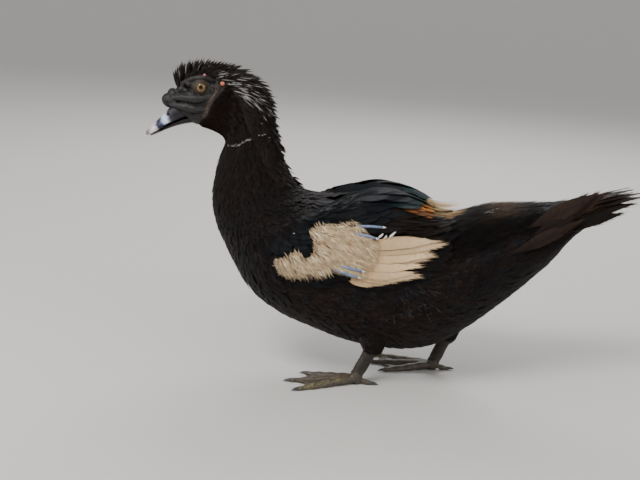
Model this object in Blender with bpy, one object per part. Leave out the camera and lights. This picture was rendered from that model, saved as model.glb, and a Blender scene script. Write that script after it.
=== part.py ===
# A Muscovy duck standing on both feet, life size, bill towards -X, tail towards +X.
# Outlines are written in millimetres and scaled to metres by MM.

import math
import random

import bmesh
import bpy
from mathutils import Matrix, Vector
from mathutils.bvhtree import BVHTree

MM = 0.001
GAP = 0.3 * MM            # clearance between neighbouring pieces
HEAD_TURN = math.radians(5)   # the head looks a little to the bird's left
TURN_AXIS_X = -150 * MM
TURN_STATIONS = (12.0, 5.0)   # the turn fades in between these stations
FLOOR = 0.0
COARSE_MERGE = (3.0, 2.0, 1.0)   # degrees, the widest that leaves a sound surface is used
FINE_MERGE = (1.0, 0.5)

# Sections of the body from the face to the root of the tail, in millimetres. Each lies in a plane
# through its dorsal and its ventral point: dorsal x, z, ventral x, z, half width, roundness
# (1 is an ellipse, less is boxier) and how far the widest level sits below the middle.
STATIONS = (
    (-237, 334, -213, 310, 11.5, 1.00, 0.00),
    (-231, 349, -203, 306, 14.5, 0.92, 0.00),
    (-220, 361, -192, 303, 17.5, 0.88, 0.00),
    (-205, 369, -182, 299, 20.0, 0.88, 0.00),
    (-187, 372, -175, 294, 22.0, 0.92, 0.00),
    (-168, 369, -172, 288, 23.5, 1.00, 0.00),
    (-150, 360, -173, 282, 25.0, 1.00, 0.00),
    (-135, 344, -176, 275, 26.0, 1.00, 0.00),
    (-125, 325, -179, 267, 27.0, 1.00, 0.00),
    (-117, 304, -181.5, 257, 29.0, 1.00, 0.00),
    (-110, 284, -183.5, 246, 32.0, 1.00, 0.00),
    (-102, 265, -185.5, 233, 36.0, 1.00, 0.05),
    (-92, 249, -186, 218, 42.0, 1.00, 0.08),
    (-80, 237, -184, 201, 50.0, 1.00, 0.10),
    (-67, 231, -178, 182, 59.0, 1.00, 0.10),
    (-55, 229, -168, 161, 67.0, 0.97, 0.08),
    (-43, 229, -155, 137, 73.0, 0.95, 0.06),
    (-30, 230, -137, 109, 77.0, 0.93, 0.04),
    (-15, 231, -113, 88, 80.0, 0.92, 0.02),
    (2, 232, -84, 72, 82.0, 0.92, 0.00),
    (20, 231, -52, 60, 83.0, 0.92, 0.00),
    (39, 229, -18, 48, 83.0, 0.92, 0.00),
    (59, 225, 16, 41, 82.0, 0.92, 0.00),
    (79, 218, 50, 38, 80.0, 0.93, -0.02),
    (99, 212, 84, 41, 77.0, 0.93, -0.04),
    (120, 214, 114, 53, 72.0, 0.94, -0.06),
    (143, 221, 142, 72, 66.0, 0.95, -0.08),
    (166, 227, 168, 93, 59.0, 0.96, -0.10),
    (190, 229, 193, 115, 52.0, 0.97, -0.12),
    (213, 231, 217, 138, 44.0, 1.00, -0.12),
    (235, 234, 238, 160, 36.0, 1.00, -0.12),
    (256, 237, 257, 186, 28.0, 1.00, -0.10),
    (278, 239, 277, 206, 21.0, 1.00, -0.05),
    (300, 242, 300, 224, 14.0, 1.00, 0.00),
)
LAST = len(STATIONS) - 1

# Where the body is parted, as station numbers.
HEAD_END = 7.0
NECK_END = 13.0
BREAST_END = 18.0
TORSO_END = 24.6
RUMP_END = 28.6

# Bill sections from the gape to the tip, in millimetres: dorsal x, z, ventral x, z, half width.
UPPER_BILL = (
    (-226, 343, -206, 319, 11.0),
    (-238, 331, -222, 316, 12.0),
    (-247, 320, -237, 309, 11.4),
    (-254, 312.5, -248, 303, 11.2),
    (-261, 305.5, -257, 297.5, 10.6),
    (-266, 300, -264, 293.5, 8.6),
    (-269, 296, -268.4, 292.6, 4.6),
)
LOWER_BILL = (
    (-208, 319, -203, 311, 9.0),
    (-224, 315, -220, 308.5, 9.6),
    (-237, 309, -234, 304.6, 9.4),
    (-248, 302.4, -246, 299.6, 9.0),
    (-257.5, 296.6, -256.5, 294.4, 7.8),
    (-263.5, 292.8, -263, 291.6, 4.6),
)
FLAT_SHARE = 0.30         # how far the flat side of a mandible bulges past its middle
BILL_RINGS = 8

EYE = (-204, 14.0, 355.0)      # centre of the left eye: x, distance from the middle, z
EYE_RADIUS = 8.6
LID_RADIUS = 6.9
LID_THICKNESS = 1.3

# The knob and the bare lumps of the face: x, side, z, half sizes along, across and up, tilt.
KNOB = (-242.5, 0, 335.5, 10.0, 8.2, 8.8, 38)
LUMPS = (
    (-226, 11.0, 350.0, 5.0, 4.2, 4.4, 30),
    (-218.5, 13.0, 356.0, 4.0, 3.4, 3.2, 30),
    (-200, 15.5, 370.0, 2.6, 2.6, 2.4, 0),
    (-178.5, 21.0, 361.0, 3.2, 2.8, 3.0, 0),
)
# Rolls of skin along the face, as points x, side, z and the radius there.
ROLLS = (
    ((-235, 10.5, 342, 2.4), (-225, 14.0, 341, 4.4), (-213, 17.0, 340.5, 4.9),
     (-203, 18.6, 341, 4.3), (-194, 19.6, 343, 1.8)),
    ((-237, 8.5, 333, 2.2), (-228, 12.5, 331, 4.0), (-215, 15.8, 329.5, 4.7),
     (-205, 17.2, 328.5, 3.8), (-198, 17.6, 328, 1.6)),
    ((-226, 8.5, 356.5, 2.2), (-218, 11.5, 361.5, 3.2), (-209, 14.0, 365, 3.5),
     (-200, 15.8, 366, 3.0), (-191, 17.5, 363.5, 1.4)),
    ((-182, 20.6, 358, 1.4), (-187, 21.0, 348, 2.6), (-192, 20.2, 337, 2.6), (-199, 18.2, 325, 1.4)),
)
NOSTRIL = (-247.5, 8.6, 313.0, 3.2, 3.0, 1.5, 38)

# Legs: the ball of each foot, side, its heading (degrees out of straight ahead) and hock.
FEET = {
    "left": {"ball": (3, -46), "heading": 5, "hock": (26, -41, 54), "side": -1},
    "right": {"ball": (104, 21), "heading": 8, "hock": (124, 25, 55), "side": 1},
}
TOES = (            # name, direction from the heading, length to the claw, radius at the root
    ("inner", -24, 64, 5.2),
    ("middle", 0, 80, 5.6),
    ("outer", 22, 78, 5.2),
)
HIND_TOE = ("hind", 168, 20, 3.6)
TOE_TIP_RADIUS = 3.0
TOE_ROOT_HEIGHT = 6.6
FOOT_TOP = 13.0
CLAW_LENGTH = 9.5
CLAW_RADIUS = 2.3
WEB_THICKNESS = 1.8
WEB_CLEARANCE = 1.0
TARSUS_RADIUS = 7.0


def smooth(share):
    share = min(max(share, 0.0), 1.0)
    return share * share * (3 - 2 * share)


def mix(a, b, share):
    return a + (b - a) * share


def spline(rows, t):
    """A row of values read at t from rows at whole numbers, along a Catmull-Rom curve."""
    t = min(max(t, 0.0), len(rows) - 1 - 1e-9)
    i = int(t)
    f = t - i
    p1, p2 = rows[i], rows[i + 1]
    p0 = rows[i - 1] if i > 0 else [2 * a - b for a, b in zip(p1, p2)]
    p3 = rows[i + 2] if i + 2 < len(rows) else [2 * b - a for a, b in zip(p1, p2)]
    return [
        0.5 * (2 * b + (c - a) * f + (2 * a - 5 * b + 4 * c - d) * f * f
               + (3 * b - a - 3 * c + d) * f ** 3)
        for a, b, c, d in zip(p0, p1, p2, p3)
    ]


def turned(point, t):
    """A point turned with the head about an upright axis, by a share that fades down the neck."""
    low, high = TURN_STATIONS
    share = smooth((low - t) / (low - high))
    axis = Vector((TURN_AXIS_X, 0, 0))
    return Matrix.Rotation(HEAD_TURN * share, 3, "Z") @ (point - axis) + axis


def bare_skin(t, angle):
    dx, dz, vx, vz, half_width, power, sag = spline(STATIONS, t)
    along = math.cos(angle) - sag * math.sin(angle) ** 2
    side = math.sin(angle)
    across = half_width * math.copysign(abs(side) ** power, side)
    x = (dx + vx) / 2 + (dx - vx) / 2 * along
    z = (dz + vz) / 2 + (dz - vz) / 2 * along
    return turned(Vector((x, -across, z)) * MM, t)


def skin_frame(t, angle):
    """Point on the body, outward normal and the direction towards the tail. Angle 0 is the
    back, a quarter turn is the left side and half a turn is the belly."""
    step_t, step_a = 0.02, 0.01
    point = bare_skin(t, angle)
    back = bare_skin(t + step_t, angle) - bare_skin(t - step_t, angle)
    around = bare_skin(t, angle + step_a) - bare_skin(t, angle - step_a)
    back.normalize()
    normal = around.cross(back).normalized()
    return point, normal, back


def skin(t, angle, lift=0.0):
    point, normal, _ = skin_frame(t, angle)
    return point + normal * lift * MM


def locate(x, z):
    """Station and angle of the left side's point that shows at x, z (millimetres) from the side."""
    def offset(t):
        dx, dz, vx, vz = spline(STATIONS, t)[:4]
        return (vx - dx) * (z - dz) - (vz - dz) * (x - dx)

    low, high = 12.0, 12.25
    while offset(low) * offset(high) > 0 and high < LAST:
        low, high = high, high + 0.25
    for _ in range(30):
        middle = (low + high) / 2
        if offset(low) * offset(middle) <= 0:
            high = middle
        else:
            low = middle
    dx, dz, vx, vz, _, _, sag = spline(STATIONS, low)
    depth = Vector((vx - dx, vz - dz))
    share = Vector((x - dx, z - dz)).dot(depth) / depth.length_squared
    best, angle = 9.0, 0.0
    for step in range(361):
        trial = math.pi * step / 360
        miss = abs((1 - math.cos(trial) + sag * math.sin(trial) ** 2) / 2 - share)
        if miss < best:
            best, angle = miss, trial
    return low, angle


def material(name, colour, roughness, metallic=0.0):
    made = bpy.data.materials.new(name)
    made.use_nodes = True
    shader = made.node_tree.nodes["Principled BSDF"]
    shader.inputs["Base Color"].default_value = (*colour, 1)
    shader.inputs["Roughness"].default_value = roughness
    shader.inputs["Metallic"].default_value = metallic
    return made


def new_object(name, bm, finish=None):
    mesh = bpy.data.meshes.new(name)
    bm.to_mesh(mesh)
    bm.free()
    made = bpy.data.objects.new(name, mesh)
    bpy.context.scene.collection.objects.link(made)
    if finish is not None:
        mesh.materials.append(finish)
    return made


def tube(name, rings, finish=None):
    """A closed skin through rings of equal count. A ring whose points coincide closes to a tip.
    The second half of each ring is split the other way round, so that a thin vane's two
    faces fold along the same lines."""
    rows, columns = len(rings), len(rings[0])
    bm = bmesh.new()
    bmesh.ops.create_grid(bm, x_segments=columns, y_segments=rows - 1, size=1)
    bm.verts.ensure_lookup_table()
    for number, vert in enumerate(bm.verts):
        row, column = divmod(number, columns + 1)
        vert.co = rings[row][column % columns]
    upper = [f for n, f in enumerate(bm.faces) if n % columns < columns // 2]
    lower = [f for n, f in enumerate(bm.faces) if n % columns >= columns // 2]
    bmesh.ops.triangulate(bm, faces=upper, quad_method="FIXED")
    bmesh.ops.triangulate(bm, faces=lower, quad_method="ALTERNATE")
    bmesh.ops.remove_doubles(bm, verts=bm.verts, dist=1e-6)
    open_edges = [e for e in bm.edges if e.is_boundary]
    if open_edges:
        bmesh.ops.holes_fill(bm, edges=open_edges, sides=0)
    bmesh.ops.recalc_face_normals(bm, faces=bm.faces)
    return new_object(name, bm, finish)


def body_length(name, start, end, count, sides, finish, shrink=0.0):
    """The stretch of the body between two stations, its ends drawn in by half the gap."""
    rings = []
    for i in range(count + 1):
        t = mix(start, end, i / count)
        rings.append([skin(t, 2 * math.pi * (j + 0.5) / sides, -shrink) for j in range(sides)])
    for ring, towards in ((rings[0], rings[1]), (rings[-1], rings[-2])):
        centre = sum(ring, Vector()) / sides
        inner = sum(towards, Vector()) / sides
        plane = (ring[0] - centre).cross(ring[sides // 4] - centre).normalized()
        if plane.dot(inner - centre) < 0:
            plane.negate()
        for j in range(sides):
            ring[j] = ring[j] + plane * GAP / 2
    return tube(name, rings, finish)


def egg(name, centre, sizes, tilt, finish=None, segments=14, rings=8):
    """An ellipsoid. The tilt, in degrees, drops its front end."""
    bm = bmesh.new()
    bmesh.ops.create_uvsphere(bm, u_segments=segments, v_segments=rings, radius=1)
    place = (
        Matrix.Translation(Vector(centre) * MM)
        @ Matrix.Rotation(math.radians(-tilt), 4, "Y")
        @ Matrix.Diagonal((*[s * MM for s in sizes], 1))
    )
    bmesh.ops.transform(bm, matrix=place, verts=bm.verts)
    return new_object(name, bm, finish)


def on_head(obj):
    """Turns a piece with the head."""
    for vert in obj.data.vertices:
        vert.co = turned(vert.co, 0)
    return obj


def baked(obj):
    """Applies an object's modifiers and keeps only its largest closed surface."""
    graph = bpy.context.evaluated_depsgraph_get()
    mesh = bpy.data.meshes.new_from_object(obj.evaluated_get(graph))
    obj.modifiers.clear()
    obj.data = mesh
    bm = bmesh.new()
    bm.from_mesh(mesh)
    bmesh.ops.remove_doubles(bm, verts=bm.verts, dist=2e-6)
    bmesh.ops.triangulate(bm, faces=bm.faces)
    bmesh.ops.dissolve_degenerate(bm, edges=bm.edges, dist=2e-6)
    left, islands = set(bm.verts), []
    while left:
        island, front = set(), [next(iter(left))]
        while front:
            vert = front.pop()
            if vert in island:
                continue
            island.add(vert)
            front.extend(edge.other_vert(vert) for edge in vert.link_edges)
        islands.append(island)
        left -= island
    keep = max(islands, key=len)
    bmesh.ops.delete(bm, geom=[v for v in bm.verts if v not in keep], context="VERTS")
    bm.to_mesh(mesh)
    bm.free()
    return obj


def is_sound(bm):
    """True where a mesh is closed and no two of its faces cross."""
    if any(len(edge.link_faces) != 2 for edge in bm.edges):
        return False
    bm.faces.ensure_lookup_table()
    tree = BVHTree.FromBMesh(bm)
    for a, b in tree.overlap(tree):
        if a < b and not set(bm.faces[a].verts) & set(bm.faces[b].verts):
            return False
    return True


def simplified(obj, angles):
    """Merges the nearly flat splinters that joining and cutting leave on an object's faces."""
    for angle in angles:
        bm = bmesh.new()
        bm.from_mesh(obj.data)
        bmesh.ops.dissolve_limit(bm, angle_limit=math.radians(angle), verts=bm.verts, edges=bm.edges,
                                 use_dissolve_boundaries=False, delimit=set())
        bmesh.ops.triangulate(bm, faces=bm.faces)
        good = is_sound(bm)
        if good:
            bm.to_mesh(obj.data)
        bm.free()
        if good:
            break
    return obj


def boolean(obj, others, operation, solver="EXACT"):
    """Joins other closed meshes to an object, or cuts them from it, and removes them."""
    group = bpy.data.collections.new(obj.name + "_pieces")
    bpy.context.scene.collection.children.link(group)
    for other in others:
        group.objects.link(other)
        bpy.context.scene.collection.objects.unlink(other)
    step = obj.modifiers.new("boolean", "BOOLEAN")
    step.operation = operation
    step.operand_type = "COLLECTION"
    step.collection = group
    step.solver = solver
    bpy.context.view_layer.update()
    baked(obj)
    for other in others:
        bpy.data.objects.remove(other)
    bpy.data.collections.remove(group)
    return obj


def grown(obj, distance=GAP):
    """A copy whose surface stands off by a distance, to cut a neighbour clear."""
    copy = bpy.data.objects.new(obj.name + "_room", obj.data.copy())
    bpy.context.scene.collection.objects.link(copy)
    bm = bmesh.new()
    bm.from_mesh(copy.data)
    bm.normal_update()
    moved = [v.co + v.normal * distance * 1.3 for v in bm.verts]
    for vert, place in zip(bm.verts, moved):
        vert.co = place
    bm.to_mesh(copy.data)
    bm.free()
    return copy


def bill_piece(name, sections, flat_side, finish, grow=0.0):
    """A mandible: a domed side and a nearly flat side that meets the other mandible."""
    rings = []
    sides = 12
    for k in range(BILL_RINGS):
        dx, dz, vx, vz, half_width = spline(sections, (len(sections) - 1) * k / (BILL_RINGS - 1))
        top, bottom = Vector((dx, 0, dz)), Vector((vx, 0, vz))
        across = (top - bottom).normalized()
        share = FLAT_SHARE / (1 + FLAT_SHARE)
        hinge = bottom.lerp(top, share) if flat_side == "below" else top.lerp(bottom, share)
        ring = []
        for j in range(sides):
            angle = 2 * math.pi * j / sides
            up = math.cos(angle)
            reach = (top - hinge).length if up > 0 else (bottom - hinge).length
            out = (half_width + grow) * math.copysign(abs(math.sin(angle)) ** 0.8, math.sin(angle))
            place = hinge + across * up * (reach + grow) + Vector((0, out, 0))
            ring.append(turned(place * MM, 0))
        rings.append(ring)
    return tube(name, rings, finish)


def build_bill(finish):
    upper = bill_piece("bill_upper", UPPER_BILL, "below", finish)
    x, side, z, along, across, up, tilt = NOSTRIL
    holes = [on_head(egg("hole", (x, s * side, z), (along, across, up), tilt, None, 8, 5)) for s in (-1, 1)]
    room = bill_piece("upper_room", UPPER_BILL, "below", None, grow=0.4)
    lower = bill_piece("bill_lower", LOWER_BILL, "above", finish)
    boolean(lower, [room], "DIFFERENCE")
    rooms = [grown(upper), grown(lower)]
    boolean(upper, holes, "DIFFERENCE")
    return (upper, lower), rooms


def ring_round_eye(side):
    """The rim of the lids: a torus that faces outwards, a little forward and down."""
    bm = bmesh.new()
    bmesh.ops.create_circle(bm, segments=5, radius=LID_THICKNESS * MM)
    bmesh.ops.rotate(bm, verts=bm.verts, matrix=Matrix.Rotation(math.pi / 2, 3, "X"))
    bmesh.ops.translate(bm, verts=bm.verts, vec=(LID_RADIUS * MM, 0, 0))
    bmesh.ops.spin(bm, geom=bm.verts[:] + bm.edges[:], angle=2 * math.pi, steps=14,
                   axis=(0, 0, 1), cent=(0, 0, 0), use_merge=True)
    bmesh.ops.recalc_face_normals(bm, faces=bm.faces)
    x, out, z = EYE
    place = Matrix.Translation(Vector((x, side * (out + 5.6), z)) * MM)
    turn = Matrix.Rotation(math.radians(90 - 6 * side), 4, "X")
    stretch = Matrix.Diagonal((1.12, 0.96, 1, 1))
    bmesh.ops.transform(bm, matrix=place @ turn @ stretch, verts=bm.verts)
    return on_head(new_object("lid", bm))


def build_head(bill_rooms, finish, eye_finish):
    head = body_length("head", 0.0, HEAD_END, 12, 22, finish)
    lumps = [on_head(egg("knob", KNOB[:3], KNOB[3:6], KNOB[6], None, 12, 8))]
    for side in (-1, 1):
        for x, out, z, along, across, up, tilt in LUMPS:
            lumps.append(on_head(egg("lump", (x, side * out, z), (along, across, up), tilt, None, 8, 5)))
        for roll in ROLLS:
            path = [Vector((x, side * out, z)) for x, out, z, _ in roll]
            lumps.append(on_head(limb("roll", path, [spot[3] for spot in roll], 6)))
        lumps.append(ring_round_eye(side))
    boolean(head, lumps, "UNION")
    simplified(head, COARSE_MERGE)
    eyes, rooms = [], []
    for name, side in (("eye_left", -1), ("eye_right", 1)):
        x, out, z = EYE
        eyes.append(on_head(egg(name, (x, side * out, z), (EYE_RADIUS,) * 3, 0, eye_finish, 12, 8)))
        wide = EYE_RADIUS + 0.4
        rooms.append(on_head(egg("socket", (x, side * out, z), (wide,) * 3, 0, None, 12, 8)))
    for room in rooms + bill_rooms:
        boolean(head, [room], "DIFFERENCE", "MANIFOLD")
    return simplified(head, FINE_MERGE), eyes


# Station, upper edge and lower edge in degrees: the whole folded wing, its dark part, its patch.
WING_SPAN = (
    (15.2, 60, 80), (16.0, 38, 104), (17.0, 24, 105), (18.0, 14, 104), (19.0, 8, 99), (20.0, 5, 95),
    (21.0, 4, 91), (22.0, 4, 88), (23.0, 5, 82), (23.7, 7, 76), (24.6, 9, 66),
)
DARK_SPAN = (
    (15.2, 60, 80), (16.0, 38, 96), (16.9, 24, 101), (17.9, 15, 99), (18.9, 9, 92), (19.9, 6, 87),
    (20.9, 5, 80), (21.8, 5, 60), (22.5, 6, 44), (23.1, 9, 32),
)
PATCH_SPAN = (
    (16.2, 66, 103), (17.0, 48, 104), (18.0, 32, 103), (19.0, 30, 98), (20.0, 32, 94),
    (21.0, 34, 90), (21.8, 38, 85), (22.5, 44, 76),
)
WING_HEIGHTS = (
    (15.2, 1.5), (16.0, 4.0), (17.0, 7.5), (18.5, 10.5), (20.0, 11.5), (21.5, 11.0),
    (22.6, 8.5), (23.6, 6.0), (24.6, 3.5),
)

# The white patch's border on the dark feathers; it runs wide of the flight feathers behind.
BAY_OUTLINE = (
    (-116, 168), (-102, 163), (-90, 169), (-77, 177), (-57, 173), (-54, 183), (-64, 201),
    (-51, 210), (-30, 210), (-14, 218), (8, 212), (38, 203), (67, 202), (91, 198), (106, 201),
    (135, 196), (135, 118), (-116, 118),
)

# Rows of feathers: station of root and tip, degrees of the first and the last, how many,
# width, degrees that each drifts down over its length.
DARK_ROWS = (
    (15.2, 17.1, 62, 84, 2, 19, 2),
    (16.2, 18.2, 58, 78, 2, 19, 1),
    (15.6, 18.1, 33, 49, 2, 21, 0),
    (16.8, 19.6, 21, 42, 3, 22, 0),
    (18.2, 21.1, 13, 36, 3, 24, 0),
    (19.5, 22.4, 12, 36, 3, 25, 1),
    (20.8, 23.6, 12, 34, 3, 24, 2),
)
PATCH_ROWS = (
    (16.1, 17.9, 88, 98, 2, 15, 1),
    (17.1, 19.1, 82, 95, 2, 18, 2),
    (17.9, 20.0, 56, 88, 3, 20, 2),
    (18.9, 21.1, 46, 84, 4, 19, 3),
)
# Flight feathers: degrees at the root, station and degrees of the tip, bulge in degrees.
FLIGHTS = (
    (46, 24.05, 40, 2), (52, 24.35, 46, 2), (59, 23.7, 53, 2), (66, 23.4, 60, 3),
    (74, 23.1, 68, 4), (83, 23.0, 75, 6),
)
FLIGHT_ROOT = 20.0
# Clipped quills on the patch, as x, z at the root and at the end.
QUILLS = ((-10, 207, 22, 206), (-8, 199, 16, 196), (-24, 162, 0, 159.5), (-28, 157, -4, 152.5))
QUILL_RADIUS = 1.9
FEATHER_SHARES = (0.0, 0.36, 0.68, 0.88, 1.0)
FEATHER_WIDTHS = (0.5, 0.94, 1.0, 0.72, 0.24)
FLIGHT_WIDTHS = (0.6, 0.96, 1.0, 0.68, 0.16)
FEATHER_THICKNESS = 0.9
OVERLAP_ROLL = 7          # degrees by which each feather's lower edge stands up
SUNK = 1.9                # depth of a feather's root below its surface


def read_rows(rows, t):
    """Values read between rows that each begin with a station."""
    if t <= rows[0][0]:
        return rows[0][1:]
    for low, high in zip(rows, rows[1:]):
        if t <= high[0]:
            share = (t - low[0]) / (high[0] - low[0])
            return [mix(a, b, share) for a, b in zip(low[1:], high[1:])]
    return rows[-1][1:]


def wing_height(t, degrees):
    """Height of the folded wing's core over the body, in millimetres."""
    upper, lower = read_rows(WING_SPAN, t)
    rise = smooth((degrees - upper) / 13)
    fall = smooth((lower - degrees) / 12)
    slope = mix(1.0, 0.6, smooth((degrees - 36) / 34))
    return 1.7 + read_rows(WING_HEIGHTS, t)[0] * rise * fall * slope


def wing_shell(name, span, side, finish):
    """A shell over the body between two edges, sunk into it below."""
    rings = []
    steps = 6
    for t, upper, lower in span:
        top, under = [], []
        for j in range(steps + 1):
            degrees = mix(upper, lower, j / steps)
            angle = side * math.radians(degrees)
            top.append(skin(t, angle, wing_height(t, degrees)))
            under.append(skin(t, angle, -2.0))
        rings.append(top + under[::-1])
    return tube(name, rings, finish)


def blade(name, centres, normals, widths, thickness, finish=None):
    """A flat tapered feather or lock along its centres, its faces square to the normals."""
    rings = []
    last = len(centres) - 1
    for i, (centre, normal, width) in enumerate(zip(centres, normals, widths)):
        along = (centres[min(i + 1, last)] - centres[max(i - 1, 0)]).normalized()
        across = along.cross(normal).normalized() * width * MM / 2
        thin = 0.6 if i == last else 1.0
        deep = across.cross(along).normalized() * thickness * thin * MM / 2
        rings.append([centre + across + deep, centre - across + deep,
                      centre - across - deep, centre + across - deep])
    return tube(name, rings, finish)


def body_feather(root, tip, degrees, width, side, lift_of, rise, widths=FEATHER_WIDTHS, bulge=0.0):
    """A feather that follows the body from its root to its tip, both given as stations, with
    its root sunk in what lift_of describes and its tip standing off by rise."""
    centres, normals = [], []
    roll = math.radians(OVERLAP_ROLL)
    for share in FEATHER_SHARES:
        t = mix(root, tip, share)
        here = mix(degrees[0], degrees[1], share) + bulge * math.sin(math.pi * share)
        point, normal, back = skin_frame(t, side * math.radians(here))
        lift = lift_of(t, here) + mix(-SUNK, rise, share)
        down = back.cross(normal) * side
        centres.append(point + normal * lift * MM)
        normals.append(normal * math.cos(roll) - down * math.sin(roll))
    return blade("feather", centres, normals, [width * w for w in widths], FEATHER_THICKNESS)


def feather_rows(rows, side, chance):
    feathers = []
    for root, tip, first, last, count, width, drift in rows:
        for k in range(count):
            degrees = mix(first, last, k / max(count - 1, 1)) + chance.uniform(-0.8, 0.8)
            shift = chance.uniform(-0.1, 0.1)
            reach = chance.uniform(-0.12, 0.12)
            feathers.append(body_feather(root + shift, tip + reach, (degrees, degrees + drift),
                                         width, side, wing_height, 2.7 + chance.uniform(-0.2, 0.2)))
    return feathers


def quill(x0, z0, x1, z1, side):
    path = []
    for share, rise in ((0.0, -0.6), (0.4, 2.6), (1.0, 4.4)):
        t, angle = locate(mix(x0, x1, share), mix(z0, z1, share))
        path.append(skin(t, side * angle, wing_height(t, math.degrees(angle)) + rise) / MM)
    return limb("quill", path, [QUILL_RADIUS] * 3, 6)


def curtain(name, outline, side, offset):
    """An upright wall of the outline's shape through one side of the body, grown by an offset."""
    count = len(outline)
    area = sum(outline[i - 1][0] * outline[i][1] - outline[i][0] * outline[i - 1][1] for i in range(count))
    turn = 1 if area > 0 else -1
    ring = []
    for i in range(count):
        before, here, after = (Vector(outline[(i + k) % count]) for k in (-1, 0, 1))
        one, two = (here - before).normalized(), (after - here).normalized()
        out = (Vector((one.y, -one.x)) + Vector((two.y, -two.x))) * turn
        out = out.normalized() / max(math.sqrt((1 + one.dot(two)) / 2), 0.5)
        ring.append(here + out * offset)
    bm = bmesh.new()
    verts = [bmesh.ops.create_vert(bm, co=Vector((p.x, -side * 20, p.y)) * MM)["vert"][0] for p in ring]
    edges = [bmesh.ops.contextual_create(bm, geom=[verts[i - 1], verts[i]])["edges"][0] for i in range(count)]
    face = bmesh.ops.contextual_create(bm, geom=edges)["faces"]
    grown_face = bmesh.ops.extrude_face_region(bm, geom=face)["geom"]
    far = [g for g in grown_face if isinstance(g, bmesh.types.BMVert)]
    bmesh.ops.translate(bm, verts=far, vec=Vector((0, -side * 110, 0)) * MM)
    bmesh.ops.triangulate(bm, faces=bm.faces)
    bmesh.ops.recalc_face_normals(bm, faces=bm.faces)
    return new_object(name, bm)


def build_wing(label, side, body, finish_of):
    chance = random.Random(f"wing {label}")
    wing = wing_shell(f"wing_{label}", DARK_SPAN, side, finish_of["gloss"])
    boolean(wing, feather_rows(DARK_ROWS, side, chance), "UNION")
    simplified(wing, COARSE_MERGE)
    patch = wing_shell(f"wing_patch_{label}", PATCH_SPAN, side, finish_of["white"])
    feathers = feather_rows(PATCH_ROWS, side, chance)
    for root_degrees, tip, tip_degrees, bulge in FLIGHTS:
        root = FLIGHT_ROOT + chance.uniform(-0.15, 0.15)
        feathers.append(body_feather(root, tip + chance.uniform(-0.1, 0.1), (root_degrees, tip_degrees),
                                     14, side, wing_height, 1.4, FLIGHT_WIDTHS, bulge))
    feathers += [quill(*ends, side) for ends in QUILLS]
    boolean(patch, feathers, "UNION")
    simplified(patch, COARSE_MERGE)
    boolean(wing, [curtain("bay", BAY_OUTLINE, side, GAP / MM / 2)], "DIFFERENCE")
    boolean(patch, [curtain("cutout", BAY_OUTLINE, side, -GAP / MM / 2)], "INTERSECT")
    for piece in body:
        boolean(wing, [grown(piece)], "DIFFERENCE", "MANIFOLD")
        boolean(patch, [grown(piece)], "DIFFERENCE", "MANIFOLD")
    return [simplified(wing, FINE_MERGE), simplified(patch, FINE_MERGE)]


def build_stance(finish_of):
    pieces = []
    for name, data in FEET.items():
        pieces += build_leg(name, data, finish_of)
    return pieces


def limb(name, path, radii, sides, finish=None, flatten=1.0, floor=None):
    """A tapered round limb along a path of points in millimetres."""
    rings = []
    for i, (place, radius) in enumerate(zip(path, radii)):
        before, after = path[max(i - 1, 0)], path[min(i + 1, len(path) - 1)]
        along = (Vector(after) - Vector(before)).normalized()
        side = along.cross(Vector((0, 0, 1)))
        side = side.normalized() if side.length > 0.1 else Vector((0, 1, 0))
        up = side.cross(along)
        ring = []
        for j in range(sides):
            angle = 2 * math.pi * (j + 0.5) / sides
            point = Vector(place) + (side * math.cos(angle) + up * math.sin(angle) * flatten) * radius
            if floor is not None:
                point.z = max(point.z, floor)
            ring.append(point * MM)
        rings.append(ring)
    return tube(name, rings, finish)


def toe_path(ball, heading, length):
    """Points from the ball of the foot to the claw, sinking on to the floor."""
    turn = math.radians(180 + heading)
    way = Vector((math.cos(turn), math.sin(turn), 0))
    path = []
    for share in (0.0, 0.35, 0.7, 0.96, 1.0):
        height = mix(TOE_ROOT_HEIGHT, TOE_TIP_RADIUS * 0.75, smooth(share * 1.05))
        path.append(Vector((ball[0], ball[1], height)) + way * length * share)
    path[-2].z = path[-1].z
    return path, way


def build_foot(name, data, skin_finish, claw_finish):
    ball, outward = data["ball"], -data["side"]
    pieces, claws, front = [], [], []
    for toe, spread, length, radius in (*TOES, HIND_TOE):
        path, way = toe_path(ball, outward * (data["heading"] + spread), length)
        radii = [radius * 1.1, radius, radius * 0.9, TOE_TIP_RADIUS, TOE_TIP_RADIUS]
        pieces.append(limb("toe", path, radii, 7, None, 0.92, FLOOR))
        start = path[-1] + way * GAP / MM
        claw = [start, start + way, start + way * CLAW_LENGTH * 0.6,
                start + way * CLAW_LENGTH - Vector((0, 0, 1.2))]
        radii = [CLAW_RADIUS, CLAW_RADIUS, CLAW_RADIUS * 0.65, 0.35]
        claws.append(limb(f"claw_{name}_{toe}", claw, radii, 6, claw_finish, 1.0, FLOOR))
        if toe != "hind":
            front.append(path)
    webs = [web_between(front[i], front[i + 1]) for i in (0, 1)]
    x, y = ball
    heel = [Vector((x + 2, y, FOOT_TOP)), Vector((x + 2, y, FOOT_TOP - 1.5)), Vector((x - 1, y, 3.0))]
    foot = limb(f"foot_{name}", heel, [7.4, 8.0, 7.0], 10, skin_finish, 1.0, FLOOR)
    boolean(foot, pieces + webs, "UNION")
    return simplified(foot, COARSE_MERGE), claws


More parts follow.
